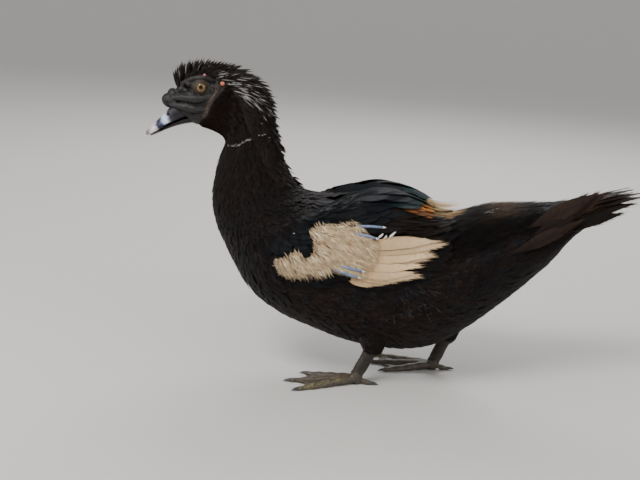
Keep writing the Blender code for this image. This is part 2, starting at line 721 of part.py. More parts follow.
def web_between(first, second):
    """The skin between two toes, with a hollow front edge."""
    rings = []
    hollow = 0.16
    for share in (0.04, 0.4, 0.75, 0.96):
        upper = []
        for cross in (0.0, 0.33, 0.67, 1.0):
            reach = share * (1 - hollow * math.sin(math.pi * cross) * share)
            a = first[0].lerp(first[-1], reach)
            b = second[0].lerp(second[-1], reach)
            spot = a.lerp(b, cross)
            upper.append(Vector((spot.x, spot.y, WEB_CLEARANCE + WEB_THICKNESS + (1 - reach) * 2.4)))
        lower = [spot - Vector((0, 0, WEB_THICKNESS)) for spot in reversed(upper)]
        rings.append([spot * MM for spot in upper + lower])
    return tube("web", rings)


def build_leg(name, data, finish_of):
    foot, claws = build_foot(name, data, finish_of["leg"], finish_of["claw"])
    x, y = data["ball"]
    hock = Vector(data["hock"])
    ankle = Vector((x + 2, y, FOOT_TOP + GAP / MM))
    above = ankle + Vector((0, 0, 2.0))
    shin = above.lerp(hock, 0.5)
    rings = []
    for place, radius in ((ankle, 1.0), (above, 1.03), (shin, 0.94), (hock, 1.2)):
        lean = math.radians(0 if place in (ankle, above) else 24)
        ring = []
        for j in range(12):
            angle = 2 * math.pi * j / 12
            reach = Vector((math.cos(angle) * math.cos(lean), math.sin(angle), -math.cos(angle) * math.sin(lean)))
            ring.append((place + reach * TARSUS_RADIUS * radius) * MM)
        rings.append(ring)
    tarsus = tube(f"tarsus_{name}", rings, finish_of["leg"])
    hx, hy, hz = data["hock"]
    shank = limb(f"shank_{name}", [Vector((hx - 6, hy, hz + 36)), Vector((hx - 4, hy, hz + 8)),
                                   Vector((hx - 3, hy, hz - 12)), Vector((hx - 3, hy, hz - 20))],
                 [27, 22, 14, 9.5], 16, finish_of["black"])
    return [foot, tarsus, shank, *claws]


# Tail feathers on one side: root x, side, z, tip x, side, z, width and lean of the blade in
# degrees. The last two are the outer pair, which lie against the side of the tail.
TAIL_FEATHERS = (
    (248, 4, 226, 331, 7, 257, 17, 8),
    (244, 10, 221, 338, 13, 250, 18, 20),
    (240, 16, 214, 334, 20, 243, 18, 34),
    (233, 23, 204, 316, 29, 232, 18, 52),
    (208, 40, 203, 282, 29, 254, 18, 72),
    (208, 41, 186, 266, 33, 222, 16, 80),
)
OUTER_DROP = 14           # the outer pair of the right side lies lower
# Small feathers over the root of the tail: degrees, width, station of the tip.
TAIL_COVERTS = (
    (0, 20, 32.4), (38, 19, 32.3), (-38, 19, 32.3), (158, 17, 31.2), (-158, 17, 31.2),
)


def build_tail(finish):
    chance = random.Random("tail")
    tail = body_length("tail", RUMP_END, LAST, 6, 18, finish)
    feathers = []
    for side in (-1, 1):
        for x0, y0, z0, x1, y1, z1, width, lean in TAIL_FEATHERS:
            drop = OUTER_DROP if side > 0 and lean > 70 else 0
            root = Vector((x0, side * y0, z0 - drop / 2))
            tip = Vector((x1 + chance.uniform(-3, 3), side * (y1 + chance.uniform(-1, 1)), z1 - drop))
            lean = math.radians(lean)
            face = Vector((0, side * math.sin(lean), math.cos(lean)))
            bow = face * chance.uniform(1.0, 2.0)
            centres = [(root.lerp(tip, s) + bow * math.sin(math.pi * s)) * MM for s in FEATHER_SHARES]
            widths = [width * w for w in FEATHER_WIDTHS]
            feathers.append(blade("feather", centres, [face] * len(centres), widths, 1.1))
    for degrees, width, tip in TAIL_COVERTS:
        side = -1 if degrees < 0 else 1
        feathers.append(body_feather(29.6, tip + chance.uniform(-0.15, 0.15),
                                     (abs(degrees), abs(degrees) * 0.97), width, side, lambda t, a: 0.0, 2.4))
    boolean(tail, feathers, "UNION")
    return simplified(tail, COARSE_MERGE)


# Rows of locks: station, widest angle, count, length, middle angle from the surface.
CREST_ROWS = (
    (1.15, 10, 3, 23, 68), (1.65, 13, 3, 23, 60), (2.2, 16, 3, 20, 52), (2.9, 21, 3, 18, 44),
    (3.6, 27, 4, 22, 32), (4.4, 34, 4, 26, 24), (5.2, 40, 4, 26, 20), (5.9, 45, 4, 25, 22),
    (6.6, 48, 5, 24, 26),
)
NAPE_ROWS = (
    (7.4, 42, 4, 23, 33), (8.3, 40, 3, 21, 32), (9.1, 38, 3, 19, 30), (9.9, 36, 3, 18, 27),
    (10.8, 33, 3, 17, 21),
)
LOCK_WIDTHS = (0.8, 1.0, 0.84, 0.26)


def lock(t, degrees, length, lie, sink, width, chance):
    """A flat tapered lock that leaves the surface steeply and bends back along its lie. The
    steeper it stands, the more its flat side faces outwards."""
    angle = math.radians(degrees)
    point, normal, back = skin_frame(t, angle)
    aside = back.cross(normal)
    outward = 1 if point.y * aside.y > 0 else -1
    sway = chance.uniform(-0.1, 0.1)
    twist = math.radians(outward * min(lie, 60) + chance.uniform(-14, 14))
    place = point + normal * sink * MM
    centres, normals = [], []
    steps = len(LOCK_WIDTHS) - 1
    for i in range(steps + 1):
        lift = math.radians(lie + mix(13, -13, i / steps))
        way = (back * math.cos(lift) + normal * math.sin(lift) + aside * sway).normalized()
        face = (normal * math.cos(lift) - back * math.sin(lift)).normalized()
        centres.append(place.copy())
        normals.append(face * math.cos(twist) + aside * math.sin(twist))
        place = place + way * (length + 2) / steps * MM
    return blade("lock", centres, normals, [width * w for w in LOCK_WIDTHS], 1.4)


def locks(rows, sink, width, chance):
    made = []
    for t, spread, count, length, lie in rows:
        for k in range(count):
            degrees = mix(-spread, spread, (k + 0.5) / count) + chance.uniform(-2, 2)
            made.append(lock(t + chance.uniform(-0.12, 0.12), degrees, length * chance.uniform(0.9, 1.06),
                             lie + chance.uniform(-4, 4), sink, width, chance))
    return made


CREST_CORE = (     # station, half spread in degrees, height
    (1.0, 12, 2.5), (1.5, 16, 4.5), (2.4, 20, 5.0), (3.4, 30, 4.5), (4.5, 42, 4.0),
    (5.6, 50, 4.0), (6.6, 56, 4.0), (6.92, 57, 3.0),
)


def build_crest(head, finish):
    rings = []
    for t, spread, height in CREST_CORE:
        top, under = [], []
        for j in range(9):
            angle = math.radians(mix(-spread, spread, j / 8))
            share = math.sin(math.pi * j / 8) ** 0.5 if 0 < j < 8 else 0.0
            top.append(skin(t, angle, 1.2 + height * share))
            under.append(skin(t, angle, -2.0))
        rings.append(top + under[::-1])
    crest = tube("crest", rings, finish)
    boolean(crest, locks(CREST_ROWS, 1.5, 10.5, random.Random("crest")), "UNION")
    simplified(crest, COARSE_MERGE)
    boolean(crest, [grown(head)], "DIFFERENCE")
    return simplified(crest, FINE_MERGE)


def build_neck(finish):
    neck = body_length("neck", HEAD_END, NECK_END, 8, 24, finish)
    boolean(neck, locks(NAPE_ROWS, -2.5, 10.0, random.Random("nape")), "UNION")
    return simplified(neck, COARSE_MERGE)


def clear_scene():
    for obj in list(bpy.data.objects):
        bpy.data.objects.remove(obj)


def stand_on_origin(nodes):
    """Hangs every node on one empty, and brings the middle of their box over the origin."""
    root = bpy.data.objects.new("duck", None)
    bpy.context.scene.collection.objects.link(root)
    corners = [vert.co for node in nodes for vert in node.data.vertices]
    low = Vector(min(c[i] for c in corners) for i in range(3))
    high = Vector(max(c[i] for c in corners) for i in range(3))
    for node in nodes:
        node.parent = root
    root.location = (-(low.x + high.x) / 2, -(low.y + high.y) / 2, -low.z)


def main():
    clear_scene()
    finish_of = {
        "black": material("black_feather", (0.012, 0.011, 0.011), 0.6),
        "gloss": material("gloss_feather", (0.01, 0.022, 0.024), 0.4),
        "white": material("white_feather", (0.62, 0.5, 0.36), 0.8),
        "face": material("face_skin", (0.02, 0.019, 0.02), 0.45),
        "bill": material("bill_horn", (0.03, 0.03, 0.04), 0.35),
        "eye": material("eye", (0.45, 0.27, 0.05), 0.05),
        "leg": material("leg_skin", (0.045, 0.043, 0.038), 0.55),
        "claw": material("claw", (0.04, 0.036, 0.03), 0.4),
    }
    bill, bill_rooms = build_bill(finish_of["bill"])
    head, eyes = build_head(bill_rooms, finish_of["face"], finish_of["eye"])
    neck = build_neck(finish_of["black"])
    breast = body_length("breast", NECK_END, BREAST_END, 7, 24, finish_of["black"])
    torso = body_length("torso", BREAST_END, TORSO_END, 8, 24, finish_of["black"])
    rump = body_length("rump", TORSO_END, RUMP_END, 5, 24, finish_of["black"])
    tail = build_tail(finish_of["black"])
    boolean(tail, [grown(rump)], "DIFFERENCE")
    simplified(tail, FINE_MERGE)
    crest = build_crest(head, finish_of["black"])
    nodes = [*bill, head, *eyes, crest, neck, breast, torso, rump, tail]
    legs = build_stance(finish_of)
    for piece in legs:
        if piece.name.startswith("shank"):
            boolean(piece, [grown(torso)], "DIFFERENCE")
            boolean(piece, [grown(rump)], "DIFFERENCE")
    for side in ("left", "right"):
        tarsus = next(p for p in legs if p.name == f"tarsus_{side}")
        shank = next(p for p in legs if p.name == f"shank_{side}")
        boolean(tarsus, [grown(shank)], "DIFFERENCE")
    nodes += legs
    for label, side in (("left", 1), ("right", -1)):
        nodes += build_wing(label, side, (breast, torso, rump), finish_of)
    for node in nodes:
        node.data.shade_smooth()
        node.data.set_sharp_from_angle(angle=math.radians(50))
    stand_on_origin(nodes)


main()
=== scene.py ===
import math
import random

import bmesh
import bpy
import numpy as np
from mathutils import Matrix, Vector, noise
from mathutils.kdtree import KDTree


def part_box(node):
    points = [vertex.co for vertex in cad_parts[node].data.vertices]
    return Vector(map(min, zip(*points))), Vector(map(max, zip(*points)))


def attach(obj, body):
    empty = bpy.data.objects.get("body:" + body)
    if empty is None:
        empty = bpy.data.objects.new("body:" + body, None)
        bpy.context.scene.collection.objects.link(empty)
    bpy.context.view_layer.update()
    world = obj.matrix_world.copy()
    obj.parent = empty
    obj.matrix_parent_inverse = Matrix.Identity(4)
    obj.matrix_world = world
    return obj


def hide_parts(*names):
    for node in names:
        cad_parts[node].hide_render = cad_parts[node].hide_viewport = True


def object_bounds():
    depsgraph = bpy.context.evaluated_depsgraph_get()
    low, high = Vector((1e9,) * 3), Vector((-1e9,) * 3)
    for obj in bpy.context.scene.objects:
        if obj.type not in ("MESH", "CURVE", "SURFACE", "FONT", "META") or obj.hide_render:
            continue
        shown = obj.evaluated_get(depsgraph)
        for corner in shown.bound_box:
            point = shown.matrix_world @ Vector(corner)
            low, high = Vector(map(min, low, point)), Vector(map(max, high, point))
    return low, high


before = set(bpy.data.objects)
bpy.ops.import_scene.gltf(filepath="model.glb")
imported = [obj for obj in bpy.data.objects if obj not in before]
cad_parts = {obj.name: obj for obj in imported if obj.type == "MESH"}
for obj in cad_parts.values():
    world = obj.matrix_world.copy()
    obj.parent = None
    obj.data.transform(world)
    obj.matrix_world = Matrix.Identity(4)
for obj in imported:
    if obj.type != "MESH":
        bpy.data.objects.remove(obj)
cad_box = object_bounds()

# The bird is drawn in millimetres in its own frame: bill towards -X, its left side towards -Y.
# Everything is scaled to metres and moved to where the solids stand.
MM = 0.001
HEAD_TURN = math.radians(5)
TURN_AXIS_X = -150.0
TURN_STATIONS = (12.0, 5.0)            # where the neck begins to turn and has turned fully

# Sections of the body from the face to the tail, the same as the solids': dorsal x, z,
# ventral x, z, half width, roundness, sag of the widest level.
STATIONS = np.array((
    (-237, 334, -213, 310, 11.5, 1.00, 0.00),
    (-231, 349, -203, 306, 14.5, 0.92, 0.00),
    (-220, 361, -192, 303, 17.5, 0.88, 0.00),
    (-205, 369, -182, 299, 20.0, 0.88, 0.00),
    (-187, 372, -175, 294, 22.0, 0.92, 0.00),
    (-168, 369, -172, 288, 23.5, 1.00, 0.00),
    (-150, 360, -173, 282, 25.0, 1.00, 0.00),
    (-135, 344, -176, 275, 26.0, 1.00, 0.00),
    (-125, 325, -179, 267, 27.0, 1.00, 0.00),
    (-117, 304, -181.5, 257, 29.0, 1.00, 0.00),
    (-110, 284, -183.5, 246, 32.0, 1.00, 0.00),
    (-102, 265, -185.5, 233, 36.0, 1.00, 0.05),
    (-92, 249, -186, 218, 42.0, 1.00, 0.08),
    (-80, 237, -184, 201, 50.0, 1.00, 0.10),
    (-67, 231, -178, 182, 59.0, 1.00, 0.10),
    (-55, 229, -168, 161, 67.0, 0.97, 0.08),
    (-43, 229, -155, 137, 73.0, 0.95, 0.06),
    (-30, 230, -137, 109, 77.0, 0.93, 0.04),
    (-15, 231, -113, 88, 80.0, 0.92, 0.02),
    (2, 232, -84, 72, 82.0, 0.92, 0.00),
    (20, 231, -52, 60, 83.0, 0.92, 0.00),
    (39, 229, -18, 48, 83.0, 0.92, 0.00),
    (59, 225, 16, 41, 82.0, 0.92, 0.00),
    (79, 218, 50, 38, 80.0, 0.93, -0.02),
    (99, 212, 84, 41, 77.0, 0.93, -0.04),
    (120, 214, 114, 53, 72.0, 0.94, -0.06),
    (143, 221, 142, 72, 66.0, 0.95, -0.08),
    (166, 227, 168, 93, 59.0, 0.96, -0.10),
    (190, 229, 193, 115, 52.0, 0.97, -0.12),
    (213, 231, 217, 138, 44.0, 1.00, -0.12),
    (235, 234, 238, 160, 36.0, 1.00, -0.12),
    (256, 237, 257, 186, 28.0, 1.00, -0.10),
    (278, 239, 277, 206, 21.0, 1.00, -0.05),
    (300, 242, 300, 224, 14.0, 1.00, 0.00),
))
LAST = len(STATIONS) - 1
FACE_END = 5.2            # station where the feathers of the neck begin
EYE = (-204, 14.0, 355.0)
EYE_RADIUS = 8.6


def smooth(share):
    share = np.clip(share, 0.0, 1.0)
    return share * share * (3 - 2 * share)


def mix(a, b, share):
    return a + (b - a) * share


def turned(points, share=1.0):
    """Points, in millimetres, turned with the head about its upright axis by a share of the turn."""
    angle = HEAD_TURN * share
    x, y = points[..., 0] - TURN_AXIS_X, points[..., 1]
    return np.stack([TURN_AXIS_X + x * np.cos(angle) - y * np.sin(angle),
                     x * np.sin(angle) + y * np.cos(angle), points[..., 2]], axis=-1)


eye_low, eye_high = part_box("eye_left")
SHIFT = np.array((eye_low + eye_high) / 2) - turned(np.array((EYE[0], -EYE[1], EYE[2]))) * MM


def placed(points):
    """Millimetres of the bird's own frame as metres of the solids' frame."""
    return np.asarray(points, float) * MM + SHIFT


def between(rows, t):
    """Rows of values read at t along a smooth curve through them; t counts rows."""
    padded = np.vstack([2 * rows[0] - rows[1], rows, 2 * rows[-1] - rows[-2]])
    t = np.clip(np.asarray(t, float), 0, len(rows) - 1 - 1e-9)
    i = t.astype(int)
    f = (t - i)[..., None]
    a, b, c, d = (padded[i + k] for k in range(4))
    slope, bend, twist = c - a, 2 * a - 5 * b + 4 * c - d, 3 * b - a - 3 * c + d
    return 0.5 * (2 * b + slope * f + bend * f * f + twist * f ** 3)


def bare(t, angle):
    """Points of the bird's outline, in millimetres. Angle 0 is the back, a quarter turn is the
    left side and half a turn is the belly."""
    dx, dz, vx, vz, half_width, power, sag = np.moveaxis(between(STATIONS, t), -1, 0)
    side = np.sin(angle)
    along = np.cos(angle) - sag * side ** 2
    across = half_width * np.sign(side) * np.abs(side) ** power
    points = np.stack([(dx + vx) / 2 + (dx - vx) / 2 * along, -across,
                       (dz + vz) / 2 + (dz - vz) / 2 * along], axis=-1)
    low, high = TURN_STATIONS
    return turned(points, smooth((low - np.asarray(t)) / (low - high)))


def unit(vectors):
    return vectors / np.maximum(np.linalg.norm(vectors, axis=-1, keepdims=True), 1e-9)


def skin_frame(t, angle):
    """Points on the outline, outward normals and directions towards the tail."""
    t, angle = np.broadcast_arrays(np.asarray(t, float), np.asarray(angle, float))
    back = unit(bare(t + 0.02, angle) - bare(t - 0.02, angle))
    around = bare(t, angle + 0.01) - bare(t, angle - 0.01)
    return bare(t, angle), unit(np.cross(around, back)), back


def spread(rows, t):
    """Values read at t between rows of (t, value), on straight lines."""
    rows = np.asarray(rows, float)
    return np.interp(t, rows[:, 0], rows[:, 1])


# Materials.

def node(tree, kind, sockets=None, **values):
    """A shader node, with values set on the node and on its sockets."""
    made = tree.nodes.new(kind)
    for name, value in values.items():
        setattr(made, name, value)
    for socket, value in (sockets or {}).items():
        made.inputs[socket].default_value = value
    return made


def principled(name, roughness, specular=0.5, **sockets):
    """A material with its own shader; the sockets given are set on it."""
    made = bpy.data.materials.new(name)
    made.use_nodes = True
    tree = made.node_tree
    shader = tree.nodes["Principled BSDF"]
    shader.inputs["Roughness"].default_value = roughness
    shader.inputs["Specular IOR Level"].default_value = specular
    for socket, value in sockets.items():
        shader.inputs[socket.replace("_", " ")].default_value = value
    return made, tree, shader


def math_node(tree, operation, first, second=None):
    made = node(tree, "ShaderNodeMath", operation=operation)
    for number, value in enumerate((first, second)):
        if value is None:
            continue
        if isinstance(value, (int, float)):
            made.inputs[number].default_value = value
        else:
            tree.links.new(value, made.inputs[number])
    return made.outputs[0]


def texture(tree, kind, sockets):
    """A texture read at Object coordinates."""
    place = node(tree, "ShaderNodeTexCoord")
    made = node(tree, kind, sockets)
    tree.links.new(place.outputs["Object"], made.inputs["Vector"])
    return made


def scaled(tree, colour, factor):
    made = node(tree, "ShaderNodeVectorMath", operation="SCALE")
    tree.links.new(colour, made.inputs[0])
    tree.links.new(factor, made.inputs["Scale"])
    return made.outputs["Vector"]


def mottled(tree, colour, scale, low, high):
    """The colour made darker and lighter by noise, between two factors."""
    grain = texture(tree, "ShaderNodeTexNoise", {"Scale": scale, "Detail": 3.0})
    factor = node(tree, "ShaderNodeMapRange",
                  {"From Min": 0.3, "From Max": 0.7, "To Min": low, "To Max": high})
    tree.links.new(grain.outputs["Fac"], factor.inputs["Value"])
    return scaled(tree, colour, factor.outputs["Result"])


def painted(tree, name="tone"):
    return node(tree, "ShaderNodeAttribute", attribute_name=name)


def raised(tree, shader, height, distance, strength):
    bump = node(tree, "ShaderNodeBump", {"Distance": distance, "Strength": strength})
    tree.links.new(height, bump.inputs["Height"])
    tree.links.new(bump.outputs["Normal"], shader.inputs["Normal"])


def plumage(name, roughness, specular, barb=0.75, shaft=1.7, low=0.8, high=1.2):
    """Feather vanes: the colour painted on them, streaked along barbs that run out from the
    shaft, with the shaft lighter or darker. Barb is the width of one, in millimetres."""
    made, tree, shader = principled(name, roughness, specular)
    colour = mottled(tree, painted(tree).outputs["Color"], 260, low, high)
    lie = node(tree, "ShaderNodeSeparateXYZ")
    tree.links.new(painted(tree, "vane").outputs["Vector"], lie.inputs[0])
    out = math_node(tree, "ABSOLUTE", lie.outputs[0])
    run = math_node(tree, "SUBTRACT", lie.outputs[1], math_node(tree, "MULTIPLY", out, 0.9))
    streak = node(tree, "ShaderNodeTexNoise", {"Scale": 1.6, "Detail": 4}, noise_dimensions="1D")
    tree.links.new(run, streak.inputs["W"])
    factor = math_node(tree, "ADD", math_node(tree, "MULTIPLY", streak.outputs["Fac"], 1.1), 0.45)
    middle_share = math_node(tree, "SUBTRACT", 1.0, math_node(tree, "MULTIPLY", out, 2.6))
    middle_share = math_node(tree, "MAXIMUM", middle_share, 0.0)
    factor = math_node(tree, "ADD", factor, math_node(tree, "MULTIPLY", middle_share, shaft - 1))
    tree.links.new(scaled(tree, colour, factor), shader.inputs["Base Color"])
    barbs = math_node(tree, "SINE", math_node(tree, "MULTIPLY", run, 2 * math.pi / barb))
    raised(tree, shader, barbs, 0.00012, 0.8)
    return made


def skin_finish(name, roughness, specular, scale, depth, cells=True, seams=None):
    """Bare skin: painted colour, fine pebbles or scales and soft wrinkles. Seams is how dark
    the lines between scales are."""
    made, tree, shader = principled(name, roughness, specular)
    colour = mottled(tree, painted(tree).outputs["Color"], 420, 0.7, 1.35)
    fine = texture(tree, "ShaderNodeTexVoronoi" if cells else "ShaderNodeTexNoise", {"Scale": scale})
    height = fine.outputs[0]
    if seams is not None:
        fine.feature = "DISTANCE_TO_EDGE"
        height = math_node(tree, "MULTIPLY", fine.outputs["Distance"], 5.0)
        height = math_node(tree, "MINIMUM", height, 1.0)
        factor = math_node(tree, "ADD", math_node(tree, "MULTIPLY", height, 1.12 - seams), seams)
        colour = scaled(tree, colour, factor)
    tree.links.new(colour, shader.inputs["Base Color"])
    raised(tree, shader, height, depth, 0.7)
    return made


def tinted(name, roughness, specular, mottling=None, **sockets):
    """A finish in the colour painted on its piece. Mottling is its scale and two factors."""
    made, tree, shader = principled(name, roughness, specular, **sockets)
    colour = painted(tree).outputs["Color"]
    if mottling:
        colour = mottled(tree, colour, *mottling)
    tree.links.new(colour, shader.inputs["Base Color"])
    return made


black_plumage = plumage("black_plumage", 0.5, 0.10)
gloss_plumage = plumage("gloss_plumage", 0.46, 0.08, shaft=1.3)
white_plumage = plumage("white_plumage", 0.7, 0.15, 0.9, 0.8, 0.9, 1.1)
velvet_plumage = plumage("velvet_plumage", 0.75, 0.10)
bare_skin = skin_finish("bare_skin", 0.44, 0.30, 1500, 0.0002)
leg_skin = skin_finish("scaly_leg_skin", 0.5, 0.4, 560, 0.0005, seams=0.5)
under_skin = principled("skin_under_feathers", 0.8, 0.2, Base_Color=(0.012, 0.011, 0.011, 1))[0]
horn = tinted("bill_horn", 0.38, 0.32, (300, 0.8, 1.2), Coat_Weight=0.08, Coat_Roughness=0.2)
eye_gloss = tinted("eye_gloss", 0.08, 0.35, Coat_Weight=0.25, Coat_Roughness=0.02)
claw_horn = tinted("claw_horn", 0.34, 0.5, (500, 0.7, 1.3))
quill_sheath = skin_finish("quill_sheath", 0.42, 0.4, 900, 0.0001, cells=False)
quill_end = principled("quill_end", 0.5, 0.4, Base_Color=(0.72, 0.70, 0.68, 1))[0]


# Pieces made of rings.

def closed(rings):
    """A closed bmesh through rings of points."""
    rings = np.asarray(rings, float)
    rows, columns = rings.shape[:2]
    bm = bmesh.new()
    bmesh.ops.create_grid(bm, x_segments=columns, y_segments=rows - 1, size=1)
    for number, vert in enumerate(bm.verts):
        row, column = divmod(number, columns + 1)
        vert.co = rings[row, column % columns]
    bmesh.ops.remove_doubles(bm, verts=bm.verts, dist=1e-7)
    rims = [edge for edge in bm.edges if edge.is_boundary]
    if rims:
        bmesh.ops.holes_fill(bm, edges=rims, sides=0)
    bmesh.ops.recalc_face_normals(bm, faces=bm.faces)
    return bm


def shell(rings):
    """A closed bmesh through rings of points, given in millimetres."""
    return closed(placed(rings))


def piece(name, bm, finish):
    mesh = bpy.data.meshes.new(name)
    bm.to_mesh(mesh)
    bm.free()
    mesh.materials.append(finish)
    made = bpy.data.objects.new(name, mesh)
    bpy.context.scene.collection.objects.link(made)
    mesh.shade_smooth()
    return made


def limb_rings(path, radii, sides, flatten=1.0):
    """Rings of points round a path, each square to it."""
    path, radii = np.asarray(path, float), np.asarray(radii, float)
    along = unit(np.gradient(path, axis=0))
    side = np.cross(along, (0, 0, 1.0))
    upright = np.linalg.norm(side, axis=1) < 0.1
    side[upright] = (0, 1, 0)
    side = unit(side)
    up = np.cross(side, along)
    angle = 2 * np.pi * (np.arange(sides) + 0.5) / sides
    return (path[:, None] + (side[:, None] * np.cos(angle)[:, None]
                             + up[:, None] * np.sin(angle)[:, None] * flatten) * radii[:, None, None])


def tempered(points, count):
    """A smooth path of many points through a few."""
    points = np.asarray(points, float)
    return between(points, np.linspace(0, len(points) - 1, count))


def boolean_step(base, operation):
    step = base.modifiers.new("boolean", "BOOLEAN")
    step.operation = operation
    step.solver = "MANIFOLD"
    return step


def united(base, others):
    """Joins closed pieces to a base, so that one closed surface is left."""
    group = bpy.data.collections.new(base.name + "_parts")
    for other in others:
        group.objects.link(other)
    step = boolean_step(base, "UNION")
    step.operand_type = "COLLECTION"
    step.collection = group
    settle(base)
    for other in others:
        bpy.data.objects.remove(other)
    bpy.data.collections.remove(group)


def cut(base, other):
    boolean_step(base, "DIFFERENCE").object = other
    settle(base)
    bpy.data.objects.remove(other)


def settle(obj):
    """Applies an object's modifiers."""
    bpy.context.view_layer.update()
    graph = bpy.context.evaluated_depsgraph_get()
    mesh = bpy.data.meshes.new_from_object(obj.evaluated_get(graph))
    obj.modifiers.clear()
    old = obj.data
    obj.data = mesh
    bpy.data.meshes.remove(old)


def points_of(obj):
    """An object's vertices in millimetres of the bird's own frame."""
    spots = np.empty(len(obj.data.vertices) * 3)
    obj.data.vertices.foreach_get("co", spots)
    return (spots.reshape(-1, 3) - SHIFT) / MM


def move_points(obj, spots):
    obj.data.vertices.foreach_set("co", placed(spots).ravel())
    obj.data.update()


def paint(obj, colours):
    """Writes a colour for each vertex."""
    layer = obj.data.attributes.new("tone", "FLOAT_COLOR", "POINT")
    rgba = np.ones((len(obj.data.vertices), 4), np.float32)
    rgba[:, :3] = colours
    layer.data.foreach_set("color", rgba.ravel())


def dress(obj, slot, *replaced):
    """Hands a finished piece to the frame."""
    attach(obj, "root")
    if replaced:
        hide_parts(*replaced)


def blend_colour(base, other, share):
    """Colours mixed point by point."""
    share = np.asarray(share, float)[..., None]
    return base * (1 - share) + other * share


def grain_at(spots, scale, seed=0.0):
    """Noise from 0 to 1 at each point."""
    shift = Vector((seed, seed * 1.7, -seed))
    return np.array([noise.noise(Vector(p) * scale + shift) for p in spots]) * 0.5 + 0.5


# Feathers: a few blanks, each laid thousands of times over the body in joined meshes.

def finished_blank(bm):
    """Vertices (across, along, height) and triangles of a blank."""
    bmesh.ops.triangulate(bm, faces=bm.faces)
    bm.verts.index_update()
    verts = np.array([vert.co for vert in bm.verts])
    faces = np.array([[vert.index for vert in face.verts] for face in bm.faces])
    bm.free()
    return verts, faces


def barb(bm, start, end, radius, height=0.0):
    """A thin three-sided spike from start to end, both as (across, along)."""
    start, end = Vector((*start, height)), Vector((*end, height))
    way = end - start
    spike = bmesh.ops.create_cone(bm, cap_ends=True, segments=3, radius1=radius, radius2=0,
                                  depth=way.length)
    turn = Vector((0, 0, 1)).rotation_difference(way).to_matrix().to_4x4()
    bmesh.ops.transform(bm, matrix=Matrix.Translation((start + end) / 2) @ turn, verts=spike["verts"])


def vane_ring(along, left, right, edge, ahead=(0, 0)):
    """A section across a flat feather: its edges at a height, and the shaft in the middle."""
    return [(-left, along + ahead[0], edge), (0, along, 0.5),
            (right, along + ahead[1], edge), (0, along, -0.5)]


def vane_blank(widths, seed, jag=0.06, camber=0.5, barbs=0, reach=0.14):
    """A flat feather with a shaft along its middle. Widths are shares at even steps from root to
    tip; jag roughens its edges, and barbs stand out at the edges and the tip."""
    chance = random.Random(seed)
    rows = len(widths)
    rings = []
    for k, width in enumerate(widths):
        left, right = (width * (1 + chance.uniform(-jag, jag) * (k > 0)) for _ in range(2))
        ahead = [chance.uniform(-jag, jag) * 0.3 for _ in range(2)]
        rings.append(vane_ring(k / (rows - 1), left, right, -camber * width - 0.1, ahead))
    bm = closed(rings)
    for k in range(barbs):
        share = 0.35 + 0.65 * (k + 0.5) / barbs
        side = -1 if k % 2 else 1
        width = np.interp(share, np.linspace(0, 1, rows), widths)
        out = chance.uniform(0.6, 1.15) * reach
        start = (side * width * 0.9, share - 0.05)
        end = (side * (width + out * (1.2 - share)), share + out * 0.8)
        barb(bm, start, end, 0.07, -camber * width)
    return finished_blank(bm)


def frayed_blank(seed, widths, barbs=64):
    """A long pointed feather whose end has come apart into separate barbs."""
    chance = random.Random(seed)
    rows = len(widths)
    rings = []
    for k, width in enumerate(widths):
        left, right = (width * (1 + chance.uniform(-0.08, 0.08) * (k > 0)) for _ in range(2))
        rings.append(vane_ring(k / (rows - 1), left, right, -0.3 * width - 0.1))
    bm = closed(rings)
    for k in range(barbs):
        share = chance.uniform(0.4, 0.94)
        side = -1 if k % 2 else 1
        width = np.interp(share, np.linspace(0, 1, rows), widths)
        inner = width * chance.uniform(0.35, 0.95)
        reach = chance.uniform(0.07, 0.19)
        end = (side * (inner + chance.uniform(-0.1, 0.22)), share + reach)
        barb(bm, (side * inner, share), end, 0.036, -0.2 * width)
    return finished_blank(bm)


def add_spike(bm, rings):
    """Adds a closed spike through rings of points to a blank."""
    spike = closed(rings)
    scrap = bpy.data.meshes.new("spike")
    spike.to_mesh(scrap)
    spike.free()
    bm.from_mesh(scrap)
    bpy.data.meshes.remove(scrap)


def plume_blank(barbs, seed, splay, first, shaft):
    """A loose feather: a thin shaft with long separate barbs, the first at a share of its length."""
    chance = random.Random(seed)
    corners = ((-1, -0.6), (1, -0.6), (0, 1))
    rings = [[(shaft * wide * x, along, shaft * 2 * wide * z) for x, z in corners]
             for along, wide in ((0, 1), (0.5, 0.8), (0.95, 0.4))]
    bm = closed(rings)
    for k in range(barbs):
        share = first + (0.95 - first) * (k / (barbs - 1)) ** 0.9
        side = -1 if k % 2 else 1
        wide = splay * math.sin(math.pi * min(0.12 + share * 0.8, 0.9)) * chance.uniform(0.7, 1.15)
        run = chance.uniform(0.2, 0.34) * (1.1 - share * 0.4)
        middle, end = (side * wide * 0.6, share + run * 0.45), (side * wide, share + run)
        lift = chance.uniform(-0.6, 0.6)
        add_spike(bm, [[(x + radius * a, y + radius * 0.12 * b, lift * abs(x) + radius * 6 * c)
                        for a, b, c in ((-0.7, 0.9, -0.5), (0.7, -0.9, -0.5), (0, 0, 0.8))]
                       for (x, y), radius in (((0, share), 0.045), (middle, 0.042), (end, 0.0072))])
    return finished_blank(bm)


def tuft_blank(blades, seed):
    """A few short pointed blades from one root."""
    chance = random.Random(seed)
    bm = bmesh.new()
    for k in range(blades):
        aside = mix(-0.8, 0.8, (k + 0.5) / blades)
        end = chance.uniform(0.75, 1.05)
        rings = []
        for along, wide in ((0, 0.22), (0.5, 0.26), (1.0, 0.03)):
            x, y = aside * (0.35 + 0.65 * along), along * end
            rings.append([(x - wide, y, -0.3), (x + wide, y, -0.3), (x, y, 0.4)])
        add_spike(bm, rings)
    return finished_blank(bm)


